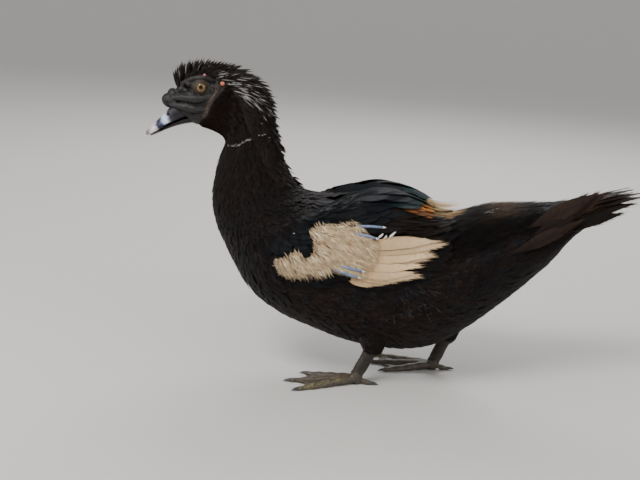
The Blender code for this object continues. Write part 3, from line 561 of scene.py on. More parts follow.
class Plumes:
    """Feather frames: centres, sideways directions and normals at even steps from root to tip."""

    def __init__(self, centres, across, normals, t, angle):
        self.centres, self.across, self.normals = centres, across, normals
        self.t, self.angle = t, angle

    def __len__(self):
        return len(self.centres)


def frames_from(centres, normals, t, angle):
    along = unit(np.gradient(centres, axis=1))
    across = unit(np.cross(along, normals))
    return Plumes(centres, across, unit(np.cross(across, along)), t, angle)


def from_back(angle):
    """Degrees from the back, on either side."""
    return np.degrees(np.abs(angle))


def laid(t, angle, tip_t, tip_angle, root_lift, tip_lift, height=None, roll=0.0, steps=6, bow=0.0):
    """Feathers that follow the body from root to tip, both given as station and angle. Height,
    where given, adds the height of what lies under them; roll stands one edge up, in degrees."""
    share = np.linspace(0, 1, steps)
    ts = t[:, None] + (tip_t - t)[:, None] * share
    angles = angle[:, None] + (tip_angle - angle)[:, None] * share
    points, normals, back = skin_frame(ts, angles)
    lift = np.asarray(root_lift)[..., None] * (1 - share) + np.asarray(tip_lift)[..., None] * share
    lift = lift + np.asarray(bow)[..., None] * np.sin(np.pi * share)
    if height is not None:
        lift = lift + height(ts, from_back(angles))
    down = np.cross(back, normals) * np.sign(angles)[..., None]
    turn = np.radians(np.asarray(roll))[..., None, None]
    facing = normals * np.cos(turn) - down * np.sin(turn)
    return frames_from(points + normals * lift[..., None], facing, t, angle)


def risen(t, angle, length, lie, sink, twist, sway, steps, droop):
    """Locks that leave the surface at an angle, bend back along it and face partly outwards."""
    points, normals, back = skin_frame(t, angle)
    aside = np.cross(back, normals)
    outward = np.sign(points[:, 1] * aside[:, 1])
    turn = np.radians(outward * np.minimum(lie, 60) + twist)[:, None]
    place = points + normals * np.asarray(sink)[..., None]
    centres, faces = [], []
    for k in range(steps):
        lift = np.radians(lie + droop * (0.5 - k / (steps - 1)))[:, None]
        way = unit(back * np.cos(lift) + normals * np.sin(lift) + aside * np.asarray(sway)[..., None])
        face = unit(normals * np.cos(lift) - back * np.sin(lift))
        centres.append(place)
        faces.append(face * np.cos(turn) + aside * np.sin(turn))
        place = place + way * (np.asarray(length) / (steps - 1))[..., None]
    return frames_from(np.stack(centres, 1), np.stack(faces, 1), t, angle)


def lengths_back(t, angle):
    """Millimetres a station is long at a place."""
    return np.linalg.norm(bare(t + 0.05, angle) - bare(t - 0.05, angle), axis=-1) / 0.1


def lengths_round(t, angle, step):
    """Millimetres a radian is long at a place, measured over a step to both sides."""
    return np.linalg.norm(bare(t, angle + step) - bare(t, angle - step), axis=-1) / (2 * step)


def measured(value, t, degrees):
    """A measure at each place: one number, or a function of station and degrees."""
    found = value(t, degrees) if callable(value) else value
    return np.broadcast_to(np.asarray(found, float), np.shape(t))


def scattered(t_range, degree_range, spacing, seed, keep=None):
    """Even random places on both sides of the body: stations and signed angles. Spacing is in
    millimetres."""
    chance = np.random.default_rng(seed)
    low, high = t_range
    a, b = np.radians(degree_range)
    grid_t, middle = np.linspace(low, high, 60), np.full(60, (a + b) / 2)
    cells = lengths_round(grid_t, middle, 0.05) * lengths_back(grid_t, middle)
    area = cells.mean() * (high - low) * (b - a)
    tried_t, tried_angle = chance.uniform(low, high, 400), chance.uniform(a, b, 400)
    least = measured(spacing, tried_t, np.degrees(tried_angle)).min()
    count = int(area * 2.2 * 9 / least ** 2)
    t = chance.uniform(low, high, count)
    angle = chance.uniform(a, b, count) * chance.choice((1, -1), count)
    weight = lengths_round(t, angle, 0.02) * lengths_back(t, angle)
    kept = chance.random(count) < weight / weight.max()
    if keep is not None:
        kept &= keep(t, from_back(angle))
    t, angle = t[kept], angle[kept]
    points = bare(t, angle)
    radii = measured(spacing, t, from_back(angle))
    tree = KDTree(len(points))
    for number, point in enumerate(points):
        tree.insert(point, number)
    tree.balance()
    open_still = np.ones(len(points), bool)
    chosen = []
    for number, (point, radius) in enumerate(zip(points, radii)):
        if open_still[number]:
            chosen.append(number)
            for _, other, _ in tree.find_range(point, radius):
                open_still[other] = False
    return t[chosen], angle[chosen]


def triangle_mesh(name, spots, corners, finish):
    """A mesh of triangles; corners are the numbers of their spots."""
    mesh = bpy.data.meshes.new(name)
    mesh.vertices.add(len(spots))
    mesh.vertices.foreach_set("co", spots.ravel())
    mesh.loops.add(corners.size)
    mesh.loops.foreach_set("vertex_index", corners.ravel())
    mesh.polygons.add(len(corners))
    mesh.polygons.foreach_set("loop_start", np.arange(0, corners.size, 3))
    mesh.polygons.foreach_set("loop_total", np.full(len(corners), 3))
    mesh.update(calc_edges=True)
    mesh.validate()
    mesh.materials.append(finish)
    return mesh


def coat(name, finish, plumes, blanks, widths, thickness, root, tip, edge=None, edge_share=0.0,
         power=1.0, seed=0, wear=0.16, slot="black_feather", replaced=()):
    """A joined mesh of feathers: each takes one of the blanks, its width, and colours painted from
    root to tip and, by a share, towards its edges."""
    chance = np.random.default_rng(seed)
    count = len(plumes)
    choice = chance.integers(0, len(blanks), count)
    widths, thickness, edge_share = (np.broadcast_to(np.asarray(value, float), count)
                                     for value in (widths, thickness, edge_share))
    root, tip, edge = (np.broadcast_to(np.asarray(value, float), (count, 3))
                       for value in (root, tip, tip if edge is None else edge))
    tint = chance.uniform(1 - wear, 1 + wear, (count, 1, 1))
    steps = plumes.centres.shape[1] - 1
    spots, corners, colours, homes, lies = [], [], [], [], []
    total = 0
    for number, (blank, faces) in enumerate(blanks):
        mine = np.flatnonzero(choice == number)
        if len(mine) == 0:
            continue
        w, s, h = blank.T
        low = np.clip((s * steps).astype(int), 0, steps - 1)
        f = (s * steps - low)[None, :, None]
        centres, across, normals = (values[mine][:, low] * (1 - f) + values[mine][:, low + 1] * f
                                    for values in (plumes.centres, plumes.across, plumes.normals))
        half = widths[mine][:, None, None] / 2
        place = (centres + across * w[None, :, None] * half
                 + normals * h[None, :, None] * thickness[mine][:, None, None])
        spots.append(place.reshape(-1, 3))
        index = np.arange(len(mine))[:, None, None] * len(blank) + faces[None] + total
        corners.append(index.reshape(-1, 3))
        total += len(mine) * len(blank)
        share = (np.clip(s, 0, 1) ** power)[None, :, None]
        rim = smooth((np.maximum(np.abs(w), np.clip(s, 0, 1) ** 3) - 0.55) / 0.4)[None, :, None]
        colour = root[mine][:, None] * (1 - share) + tip[mine][:, None] * share
        rim = rim * edge_share[mine][:, None, None]
        colour = (colour * (1 - rim) + edge[mine][:, None] * rim) * tint[mine]
        colours.append(colour.reshape(-1, 3))
        u = 0.02 + 0.96 * (plumes.angle[mine] / (2 * np.pi) + 0.5)
        v = 0.02 + 0.96 * plumes.t[mine] / LAST
        patch = np.stack([u[:, None] + w[None] * 0.0014, v[:, None] + (s[None] - 0.5) * 0.0028], -1)
        homes.append(patch.reshape(-1, 2))
        length = np.linalg.norm(np.diff(plumes.centres[mine], axis=1), axis=-1).sum(axis=1)
        aside, along = w[None] * half[:, :, 0], s[None] * length[:, None]
        lies.append(np.stack([aside, along, np.zeros_like(along)], -1).reshape(-1, 3))
    corners = np.concatenate(corners)
    mesh = triangle_mesh(name, placed(np.concatenate(spots)), corners, finish)
    home = mesh.uv_layers.new(name="OFBake")
    home.data.foreach_set("uv", np.concatenate(homes)[corners.ravel()].astype(np.float32).ravel())
    lie = mesh.attributes.new("vane", "FLOAT_VECTOR", "POINT")
    lie.data.foreach_set("vector", np.concatenate(lies).astype(np.float32).ravel())
    made = bpy.data.objects.new(name, mesh)
    bpy.context.scene.collection.objects.link(made)
    paint(made, np.clip(np.concatenate(colours), 0, 1))
    mesh.shade_smooth()
    mesh.set_sharp_from_angle(angle=math.radians(60))
    dress(made, slot, *replaced)


# The skin.

# Where the bare face ends and the cheek's short feathers begin: z and x, from the jaw to the crest.
CHEEK_BORDER = ((300.0, -212), (310.7, -206.7), (320.7, -196.2), (333.4, -192.0), (345.3, -184.6),
                (356.3, -175.5), (364, -172.5), (375, -171.0))


# Station and the depth of the plumage behind the face.
COAT_DEPTHS = ((5.0, 1.2), (7.0, 2.0), (9.0, 2.6), (13.0, 3.2), (24.0, 3.6), (30.0, 2.6), (33.0, 2.0))


def turned_back(points):
    """Points of the turned head as they would be looking straight ahead."""
    return turned(points, -1.0)


def past_border(t, degrees):
    """How far behind the border of the bare face a place is, in millimetres."""
    place = turned_back(bare(t, np.radians(degrees)))
    behind = place[..., 0] - spread(CHEEK_BORDER, place[..., 2])
    return np.where(place[..., 2] < 306, behind + 3, behind)


def coat_depth(t, degrees):
    """Millimetres of plumage between the outline and the skin; the face is bare."""
    cheek = smooth(past_border(t, degrees) / 3.0) * smooth((degrees - 40) / 10)
    body = mix(cheek, spread(COAT_DEPTHS, t), smooth((t - FACE_END) / 1.4))
    return np.where(t < FACE_END, cheek, body)


def body_loft(name, start, end, rows, sides, finish):
    """The skin between two stations, closed at both ends."""
    t = np.linspace(start, end, rows)[:, None] * np.ones(sides)
    angle = np.linspace(-np.pi, np.pi, sides, endpoint=False)[None] * np.ones((rows, 1))
    points, normals, _ = skin_frame(t, angle)
    return piece(name, shell(points - normals * coat_depth(t, from_back(angle))[..., None]), finish)


def ball(name, centre, sizes, tilt, finish, segments=48, rings=24):
    """An ellipsoid in the head's own frame, turned with the head."""
    bm = bmesh.new()
    bmesh.ops.create_uvsphere(bm, u_segments=segments, v_segments=rings, radius=1)
    bmesh.ops.scale(bm, vec=sizes, verts=bm.verts)
    bmesh.ops.rotate(bm, matrix=Matrix.Rotation(math.radians(tilt), 3, "Y"), verts=bm.verts)
    turn_with_head(bm, centre)
    return piece(name, bm, finish)


def turn_with_head(bm, centre=(0, 0, 0)):
    """Moves points given in millimetres to their centre, turns them and places them."""
    spots = np.array([vert.co for vert in bm.verts]) + np.array(centre, float)
    for vert, spot in zip(bm.verts, placed(turned(spots))):
        vert.co = spot


def refined(obj, size):
    """Makes the surface anew in small even cells and softens it once."""
    step = obj.modifiers.new("cells", "REMESH")
    step.mode = "VOXEL"
    step.voxel_size = size * MM
    step.use_smooth_shade = True
    settle(obj)
    bm = bmesh.new()
    bm.from_mesh(obj.data)
    bmesh.ops.smooth_vert(bm, verts=bm.verts, factor=0.5, use_axis_x=True, use_axis_y=True,
                          use_axis_z=True)
    bm.to_mesh(obj.data)
    bm.free()


# The knob, the mounds and the rolls of skin on the face: x, side, z, half sizes, tilt.
KNOB = (-242.0, 0, 335.5, 9.4, 7.8, 8.2, 38)
MOUNDS = (
    (-236, 0.0, 342.0, 9.5, 8.6, 7.5, 50),
    (-236, 4.0, 335.0, 8.5, 6.5, 7.5, 40),
    (-203, 10.5, 355.5, 15.0, 9.2, 11.5, 0),
    (-226, 10.2, 350.5, 5.8, 4.6, 5.0, 30),
    (-218.0, 12.0, 357.0, 5.0, 4.2, 3.8, 30),
    (-231.5, 8.0, 346.5, 4.6, 4.2, 3.8, 30),
    (-221.0, 13.2, 349.5, 3.6, 3.0, 3.0, 30),
    (-214.5, 15.2, 347.0, 4.4, 3.0, 2.4, 10),
    (-200, 15.2, 369.4, 2.3, 2.3, 2.2, 0),
    (-178.5, 20.4, 361.0, 3.2, 2.5, 2.7, 0),
    (-184.0, 19.6, 366.0, 3.0, 2.4, 2.4, 0),
    (-190, 19.5, 352.0, 3.2, 2.2, 3.6, 0),
    (-183.5, 20.4, 355.0, 2.6, 2.0, 3.0, 0),
)
ROLLS = (
    ((-239, 7.0, 340.5, 2.6), (-228, 12.2, 341.2, 4.8), (-215, 15.6, 340.6, 5.7),
     (-204, 17.2, 341.2, 5.2), (-193, 18.0, 343.5, 2.2)),
    ((-240, 6.5, 331.5, 2.4), (-229, 11.4, 331, 4.6), (-216, 14.8, 329.3, 5.4),
     (-206, 16.2, 328.3, 4.6), (-197, 16.6, 328, 2.0)),
    ((-228, 7.5, 356.5, 2.6), (-219, 10.8, 361.5, 3.8), (-209, 13.4, 365.2, 4.2),
     (-199, 15.4, 366.2, 3.8), (-188, 17.8, 363.5, 2.0)),
    ((-181, 19.6, 358, 1.0), (-186, 19.8, 348, 1.9), (-191.5, 19.0, 337, 1.9), (-197, 17.2, 324, 1.2)),
    ((-188, 18.6, 354, 0.8), (-192, 18.9, 345, 1.4), (-196.5, 18.2, 335, 1.3), (-200, 17.0, 326, 0.8)),
    ((-236, 5.5, 324, 1.4), (-226, 9.6, 322.4, 2.2), (-214, 13.0, 320.5, 2.4), (-203, 15.6, 319.5, 1.4)),
)
LID_SIZE = EYE_RADIUS + 0.95           # radius of the lids


def softened(obj, rounds, weight_of):
    """Evens out a surface, more where the weight of its points is higher."""
    spots = points_of(obj)
    ends = np.empty(len(obj.data.edges) * 2, int)
    obj.data.edges.foreach_get("vertices", ends)
    a, b = ends.reshape(-1, 2).T
    count = np.bincount(a, minlength=len(spots)) + np.bincount(b, minlength=len(spots))
    weight = weight_of(spots)[:, None]
    for _ in range(rounds):
        total = [np.bincount(a, spots[b, i], len(spots)) + np.bincount(b, spots[a, i], len(spots))
                 for i in range(3)]
        spots = spots + weight * (np.stack(total, -1) / count[:, None] - spots)
    move_points(obj, spots)


def normals_of(obj):
    normals = np.empty(len(obj.data.vertices) * 3)
    obj.data.vertex_normals.foreach_get("vector", normals)
    return normals.reshape(-1, 3)


def gap_from(spots, place):
    """Millimetres from each point to a place on the left side or to its mirror image."""
    mirrored = np.stack([spots[:, 0], np.abs(spots[:, 1]), spots[:, 2]], -1)
    return np.linalg.norm(mirrored - place, axis=1)


def roughened(obj):
    """Pebbles, pores and soft creases on the bare face."""
    spots, normals = points_of(obj), normals_of(obj)
    level = turned_back(spots)
    bare_share = smooth((spread(CHEEK_BORDER, level[:, 2]) + 3 - level[:, 0]) / 3)
    away = gap_from(level, EYE)
    rise = np.zeros(len(spots))
    for number in np.flatnonzero(bare_share > 0.01):
        place = Vector(spots[number])
        cells = noise.voronoi(place * 0.62)[0]
        grit = noise.noise(place * 0.9)
        fold = noise.noise(Vector((place.x * 0.16, place.y * 0.16, place.z * 0.55)))
        rise[number] = 0.30 * (cells[1] - cells[0]) + 0.16 * grit + 0.30 * fold
    rings = 0.16 * np.sin(away * 2.3) * np.exp(-((away - 12.0) / 3.2) ** 2)
    near = np.clip((away - LID_SIZE - 0.4) / 1.6, 0.15, 1.0)
    move_points(obj, spots + normals * ((rise * near + rings) * bare_share)[:, None])


SLATE_SKIN, PALE_SKIN = np.array((0.0068, 0.0058, 0.0056)), np.array((0.0150, 0.0138, 0.0140))
ROLL_GREY = np.array((0.024, 0.0245, 0.028))
STRIPE_BROWN = np.array((0.088, 0.056, 0.043))
LID_BROWN = np.array((0.050, 0.038, 0.026))
# The pale stripe behind the eye, as x and z.
STRIPE = ((-178.5, 360), (-185, 351), (-191, 341), (-195.5, 330), (-199, 320))
PINK_SPOTS = (   # place, size, colour
    ((-178.5, 21.5, 361.3), 2.7, np.array((0.58, 0.17, 0.11))),
    ((-200, 16.5, 370.3), 1.7, np.array((0.42, 0.15, 0.17))),
)


def gap_from_line(spots, line):
    """Millimetres from each point to a line of (x, z), seen from the side."""
    return np.sqrt(((spots[:, None, ::2] - line[None]) ** 2).sum(-1)).min(1)


def face_colours(spots):
    """Slate-black skin with a brownish creased stripe behind the eye and two pink spots."""
    spots = turned_back(spots)
    cloud = grain_at(spots, 0.10, 5.0)
    colour = blend_colour(SLATE_SKIN, PALE_SKIN, smooth((cloud - 0.35) / 0.4) * 0.7)
    on_side = np.abs(spots[:, 1]) > 8
    for roll in ROLLS[:2]:
        gap = gap_from_line(spots, tempered(roll, 24)[:, (0, 2)])
        colour = blend_colour(colour, ROLL_GREY, smooth(1 - gap / 4.5) * 0.6 * on_side)
    gap = gap_from_line(spots, tempered(STRIPE, 40))
    streaks = grain_at(spots * (1.6, 0.5, 0.45), 1.0, 9.0)
    share = smooth(1 - gap / 5.2) * smooth((streaks - 0.40) / 0.16) * on_side
    colour = blend_colour(colour, STRIPE_BROWN, share * 0.75)
    lid = smooth((LID_SIZE + 1.6 - gap_from(spots, EYE)) / 1.6)
    colour = blend_colour(colour, LID_BROWN, lid * 0.7)
    for place, size, pink in PINK_SPOTS:
        colour = blend_colour(colour, pink, smooth((size + 0.8 - gap_from(spots, place)) / 1.6) * 0.9)
    return colour


def lid_opening(side):
    """The slot between the lids, cut straight inwards."""
    bm = bmesh.new()
    bmesh.ops.create_cone(bm, cap_ends=True, segments=64, radius1=6.5, radius2=4.6, depth=9)
    bmesh.ops.bevel(bm, geom=[edge for edge in bm.edges if len(edge.link_faces) == 2], offset=0.01,
                    offset_type="OFFSET", segments=1, profile=0.5, affect="EDGES", material=-1)
    x, y, z = EYE
    place = Matrix.Translation((x + 0.2, side * (y + 9.0), z + 0.2))
    turn = Matrix.Rotation(math.radians(90 * side), 4, "X")
    stretch = Matrix.Diagonal((1.05, 0.93, 1, 1))
    bmesh.ops.transform(bm, matrix=place @ turn @ stretch, verts=bm.verts)
    turn_with_head(bm)
    return piece("opening", bm, bare_skin)


def away_from_lids(spots):
    return 0.08 + 0.42 * smooth((gap_from(turned_back(spots), EYE) - LID_SIZE - 0.2) / 2.0)


def make_head():
    head = body_loft("skin", 0.0, 7.8, 80, 72, bare_skin)
    parts = [ball("knob", KNOB[:3], KNOB[3:6], KNOB[6], bare_skin)]
    eye_x, eye_side, eye_z = EYE
    for side in (-1, 1):
        for x, y, z, along, across, up, tilt in MOUNDS:
            parts.append(ball("mound", (x, side * y, z), (along, across, up), tilt, bare_skin, 24, 16))
        for roll in ROLLS:
            spots = tempered(roll, 16) * (1, side, 1, 1)
            rings = turned(limb_rings(spots[:, :3], spots[:, 3], 16))
            parts.append(piece("roll", shell(rings), bare_skin))
        eye = (eye_x, side * eye_side, eye_z)
        parts.append(ball("lids", eye, (LID_SIZE,) * 3, 0, bare_skin, 64, 40))
    united(head, parts)
    refined(head, 0.65)
    softened(head, 9, away_from_lids)
    roughened(head)
    for side in (-1, 1):
        eye = (eye_x, side * eye_side, eye_z)
        cut(head, ball("socket", eye, (EYE_RADIUS + 0.12,) * 3, 0, bare_skin, 96, 64))
        cut(head, lid_opening(side))
    return head


# Where the ball of each foot stands, as x and y, the way it points in degrees, its ankle joint,
# and its side: -1 is the left.
FEET = {
    "left": {"ball": (3, -46), "heading": 5, "hock": (26, -41, 54), "side": -1},
    "right": {"ball": (104, 21), "heading": 8, "hock": (124, 25, 55), "side": 1},
}
TOES = (   # name, turn from the middle toe, length, radius
    ("inner", -24, 64, 5.2),
    ("middle", 0, 80, 5.6),
    ("outer", 22, 78, 5.2),
)
HIND_TOE = ("hind", 168, 20, 3.6)
SHANK_RADII = (24, 19, 11, 7.4)
UP = np.array((0, 0, 1.0))


def toe_way(heading):
    turn = math.radians(180 + heading)
    return np.array((math.cos(turn), math.sin(turn), 0.0))


def on_floor(rings):
    """Rings cut flat where they would go below the floor."""
    rings[..., 2] = np.maximum(rings[..., 2], 0.0)
    return rings


def shank_line(hock):
    """Four places down the middle of the shank to the ankle joint."""
    return np.array(hock, float) + ((-6, 0, 36), (-4, 0, 8), (-3, 0, -12), (-3, 0, -18))


def toe_path(ball, way, length):
    """The middle of a toe, from the ball of the foot down to its tip."""
    share = np.linspace(0, 1, 40)
    height = mix(6.6, 2.25, smooth(share * 1.05))
    return np.array((*ball, 0.0)) + way * length * share[:, None] + UP * height[:, None]


def toe_rings(path, length, radius, waves):
    """A toe with knuckles and scutes. Waves counts its knuckles."""
    share = np.linspace(0, 1, len(path))
    knuckles = 0.34 * np.cos(share * 2 * np.pi * waves) * smooth((share - 0.1) / 0.1)
    scutes = 0.22 * np.abs(np.sin(share * np.pi * length / 3.4))
    radii = np.interp(share, (0, 0.35, 0.7, 0.96, 1), (radius * 1.1, radius, radius * 0.9, 3.0, 2.6))
    rings = limb_rings(path, radii + knuckles, 20, 0.92)
    rings[..., 2] += np.clip(rings[..., 2] - path[:, None, 2], 0, 1) * scutes[:, None]
    return on_floor(rings)


def claw_shape(tip, way):
    """A claw that bends down from the tip of its toe."""
    share = np.linspace(0, 1, 14)
    bend = 0.5 * np.sin(np.pi * share) - share ** 2
    line = tip - way * 0.6 + way * 10.3 * share[:, None] + UP * bend[:, None]
    radii = np.interp(share, (0, 0.15, 0.6, 1), (2.3, 2.3, 1.5, 0.25))
    return on_floor(limb_rings(line, radii, 14))


def web_rings(first, second):
    """The pleated web between two toes, its free edge drawn in."""
    rings = []
    cross = np.linspace(0, 1, 15)
    for share in np.linspace(0.03, 0.965, 26):
        reach = share * (1 - 0.16 * np.sin(np.pi * cross) * share)
        a = first[0] + (first[-1] - first[0]) * reach[:, None]
        b = second[0] + (second[-1] - second[0]) * reach[:, None]
        upper = a + (b - a) * cross[:, None]
        pleat = 0.3 * np.sin(cross * np.pi * 6) * np.sin(np.pi * cross) * share
        upper[:, 2] = 2.8 + (1 - reach) * 2.4 + pleat
        lower = upper[::-1].copy()
        lower[:, 2] -= 1.6
        rings.append(np.concatenate([upper, lower]))
    return rings


def heel_rings(x, y):
    path = ((x + 2, y, 16.0), (x + 2, y, 12.0), (x + 0.5, y, 7.0), (x - 1, y, 3.0))
    return on_floor(limb_rings(path, (7.2, 7.9, 7.8, 7.0), 24))


def tarsus_rings(low, high):
    """The tarsus from the heel to the ankle joint, with plates down its front."""
    share = np.linspace(0, 1, 26)
    path = low + (high - low) * share[:, None]
    radii = 7.7 * np.interp(share, (0, 0.1, 0.5, 0.85, 1), (1.0, 1.03, 0.99, 1.22, 1.3))
    lean = np.radians(24) * smooth(share * 3)
    plates = 0.45 * np.abs(np.sin(share * np.pi * 9))
    turn = np.linspace(0, 2 * np.pi, 28, endpoint=False)
    rings = []
    for place, radius, tilt, plate in zip(path, radii, lean, plates):
        reach = radius + plate * np.clip(-np.cos(turn), 0, 1)
        rings.append(place + np.stack([np.cos(turn) * math.cos(tilt) * reach,
                                       np.sin(turn) * reach * 0.94,
                                       -np.cos(turn) * math.sin(tilt) * reach], -1))
    return rings


def leg_parts(name, data):
    """Toes, webs, heel, tarsus and shank of one leg, as closed pieces, and its claws."""
    x, y = data["ball"]
    hock = np.array(data["hock"], float)
    parts, claws, paths = [], [], []
    for toe, spread_out, length, radius in (*TOES, HIND_TOE):
        way = toe_way(-data["side"] * (data["heading"] + spread_out))
        path = toe_path((x, y), way, length)
        parts.append(("toe", toe_rings(path, length, radius, 1.5 if toe == "hind" else 4)))
        claws.append((f"claw_{name}_{toe}", claw_shape(path[-1], way)))
        paths.append(path)
    inner, middle, outer = paths[:3]
    parts.append(("web", web_rings(inner, middle)))
    parts.append(("web", web_rings(middle, outer)))
    parts.append(("heel", heel_rings(x, y)))
    parts.append(("tarsus", tarsus_rings(np.array((x + 2, y, 11.5)), hock)))
    pieces = [piece(part, shell(rings), leg_skin) for part, rings in parts]
    radii = np.interp(np.linspace(0, 3, 20), range(4), SHANK_RADII)
    rings = limb_rings(tempered(shank_line(hock), 20), radii, 24)
    pieces.append(piece("shank", shell(rings), under_skin))
    return pieces, claws


skin = make_head()
skin_parts = [body_loft("body", 5.6, LAST, 150, 96, under_skin)]
claw_rings = []
for name, data in FEET.items():
    pieces, claws = leg_parts(name, data)
    skin_parts += pieces
    claw_rings += claws
united(skin, skin_parts)

LEG_BROWN, LEG_OLIVE = np.array((0.066, 0.054, 0.045)), np.array((0.100, 0.083, 0.055))
TOE_MARKS = (   # toe, width, colour, strength, scale of its grain
    ("outer", 5.6, np.array((0.19, 0.165, 0.075)), 0.8, 2.1),
    ("middle", 2.0, np.array((0.17, 0.14, 0.17)), 0.6, 0.4),
)


def leg_colours(spots):
    """Brown-grey scales, darker up the leg; the outer toe is stippled yellow along its side and
    a lilac line runs over the middle toe."""
    patches = smooth((grain_at(spots, 0.2, 2.0) - 0.42) / 0.25)
    colour = blend_colour(LEG_BROWN, LEG_OLIVE, patches * 0.7)
    colour = colour * (0.7 + 0.6 * grain_at(spots, 0.7, 4.0)[:, None])
    low = smooth((12 - spots[:, 2]) / 4)
    for data in FEET.values():
        for toe, width, tint, strength, grain in TOE_MARKS:
            turn, reach = [(row[1], row[2]) for row in TOES if row[0] == toe][0]
            start = np.array((*data["ball"], 0.0))
            way = toe_way(-data["side"] * (data["heading"] + turn))
            off = spots - start
            along = np.clip(off @ way, 6, reach)
            gap = np.linalg.norm((off - along[:, None] * way)[:, :2], axis=1)
            share = smooth((width - gap) / (0.4 * width)) * low * (off @ way > 4)
            share = share * smooth((grain_at(spots, grain, 6.0) - 0.48) / 0.10)
            colour = blend_colour(colour, tint, share * strength)
    upper = smooth((spots[:, 2] - 9) / 10)
    return colour * (1 - 0.68 * upper)[:, None]


def paint_skin():
    spots = points_of(skin)
    colour = np.broadcast_to((0.008, 0.006, 0.006), spots.shape).copy()
    on_leg = spots[:, 2] < 47
    colour[on_leg] = leg_colours(spots[on_leg])
    on_face = (turned_back(spots)[:, 0] < -150) & (spots[:, 2] > 280)
    colour[on_face] = face_colours(spots[on_face])
    paint(skin, colour)


paint_skin()
dress(skin, "face_skin", "head", "neck", "breast", "torso", "rump", "tail", "shank_left", "shank_right",
      "tarsus_left", "tarsus_right", "foot_left", "foot_right")


# Bill.

# Sections from the base to the tip: top x, z, bottom x, z, half width.
UPPER_BILL = np.array((
    (-226, 343, -206, 319, 11.0),
    (-238, 331, -222, 316, 12.0),
    (-247, 320, -237, 309, 11.4),
    (-254, 312.5, -248, 303, 11.2),
    (-261, 305.5, -257, 297.5, 10.6),
    (-266, 300, -264, 293.5, 8.6),
    (-269, 296, -268.4, 292.6, 4.6),
), float)
LOWER_BILL = np.array((
    (-208, 319, -203, 311, 9.0),
    (-224, 315, -220, 308.5, 9.6),
    (-237, 309, -234, 304.6, 9.4),
    (-248, 302.4, -246, 299.6, 9.0),
    (-257.5, 296.6, -256.5, 294.4, 7.8),
    (-263.5, 292.8, -263, 291.6, 4.6),
), float)
FLAT_SHARE = 0.30         # depth of the flat side, as a share of the other side's
BILL_SLOPE = math.radians(31)
NOSTRIL = (-242.2, 8.7, 320.4, 2.7, 2.6, 1.2, 38)     # x, side, z, half sizes, tilt


def mandible(name, sections, flat_side, rows=110, sides=64, grow=0.0):
    rings = []
    turn = np.linspace(0, 2 * np.pi, sides, endpoint=False)
    for share in np.linspace(0, 1, rows):
        dx, dz, vx, vz, half_width = between(sections, (len(sections) - 1) * share)
        top, bottom = np.array((dx, 0, dz)), np.array((vx, 0, vz))
        across = unit(top - bottom)
        part = FLAT_SHARE / (1 + FLAT_SHARE)
        hinge = bottom + (top - bottom) * part if flat_side == "below" else top + (bottom - top) * part
        up = np.cos(turn)
        reach = np.where(up > 0, np.linalg.norm(top - hinge), np.linalg.norm(bottom - hinge)) + grow
        out = (half_width + grow) * np.sign(np.sin(turn)) * np.abs(np.sin(turn)) ** 0.8
        rings.append(hinge + across * (up * reach)[:, None] + np.array((0, 1.0, 0)) * out[:, None])
    return piece(name, shell(turned(np.array(rings))), horn)


def make_bill():
    upper = mandible("upper_bill", UPPER_BILL, "below")
    lower = mandible("lower_bill", LOWER_BILL, "above")
    cut(lower, mandible("room", UPPER_BILL, "below", 40, 32, 0.25))
    x, y, z, along, across, up, tilt = NOSTRIL
    for side in (-1, 1):
        cut(upper, ball("hole", (x, side * y, z), (along, across, up), tilt, horn, 32, 20))
    return upper, lower


upper_bill, lower_bill = make_bill()


def along_bill(obj):
    """Points of a part of the bill as if it looked straight ahead, and how far along they are."""
    spots = turned_back(points_of(obj))
    back, down = spots[:, 0] + 226, 343 - spots[:, 2]
    return spots, -back * math.cos(BILL_SLOPE) + down * math.sin(BILL_SLOPE)


BILL_BANDS = (     # millimetres from the bill's base, colour
    (0, (0.010, 0.010, 0.012)), (20, (0.012, 0.012, 0.015)), (24.5, (0.03, 0.03, 0.04)),
    (27, (0.14, 0.15, 0.20)), (29, (0.40, 0.45, 0.58)), (31.5, (0.62, 0.68, 0.80)),
    (34.5, (0.46, 0.54, 0.72)), (37.5, (0.05, 0.075, 0.15)), (41, (0.018, 0.022, 0.045)),
    (44, (0.03, 0.03, 0.055)), (46.5, (0.52, 0.47, 0.52)), (51, (0.66, 0.60, 0.63)),
    (55.5, (0.50, 0.45, 0.48)), (58.5, (0.20, 0.195, 0.22)), (62, (0.12, 0.12, 0.13)),
)
# The line between upper and lower bill, as x and z.
MOUTH_LINE = ((-300, 285), (-262, 296), (-247, 304.5), (-235, 311.5), (-216, 322))


def band_colour(bands, along):
    places = [band[0] for band in bands]
    return np.stack([np.interp(along, places, [band[1][i] for band in bands]) for i in range(3)], -1)


def paint_bill():
    for part, node_name in ((upper_bill, "bill_upper"), (lower_bill, "bill_lower")):
        spots, along = along_bill(part)
        wander = (grain_at(spots, 0.16, 3.0) - 0.5) * 5 + (grain_at(spots, 0.6, 7.0) - 0.5) * 2
        colour = band_colour(BILL_BANDS, along + wander)
        above = spots[:, 2] - spread(MOUTH_LINE, spots[:, 0])
        edge = smooth((3.6 + (grain_at(spots, 0.3, 1.0) - 0.5) * 2 - above) / 2.0)
        edge = edge * smooth((47 - along) / 5)
        colour = blend_colour(colour, np.array((0.010, 0.010, 0.013)), edge)
        # painted shade: the nostril hollow and its rim darkened
        nostril_shade = smooth((4.2 - gap_from(spots, NOSTRIL[:3])) / 2.0)
        colour = blend_colour(colour, np.array((0.02, 0.02, 0.03)), nostril_shade)
        if part is lower_bill:
            colour = colour * 0.25
        streak = 0.85 + 0.3 * grain_at(spots * (0.5, 2.2, 0.5), 1.0, 4.0)
        paint(part, colour * streak[:, None])
        dress(part, "bill_horn", node_name)


paint_bill()


# Eyes.

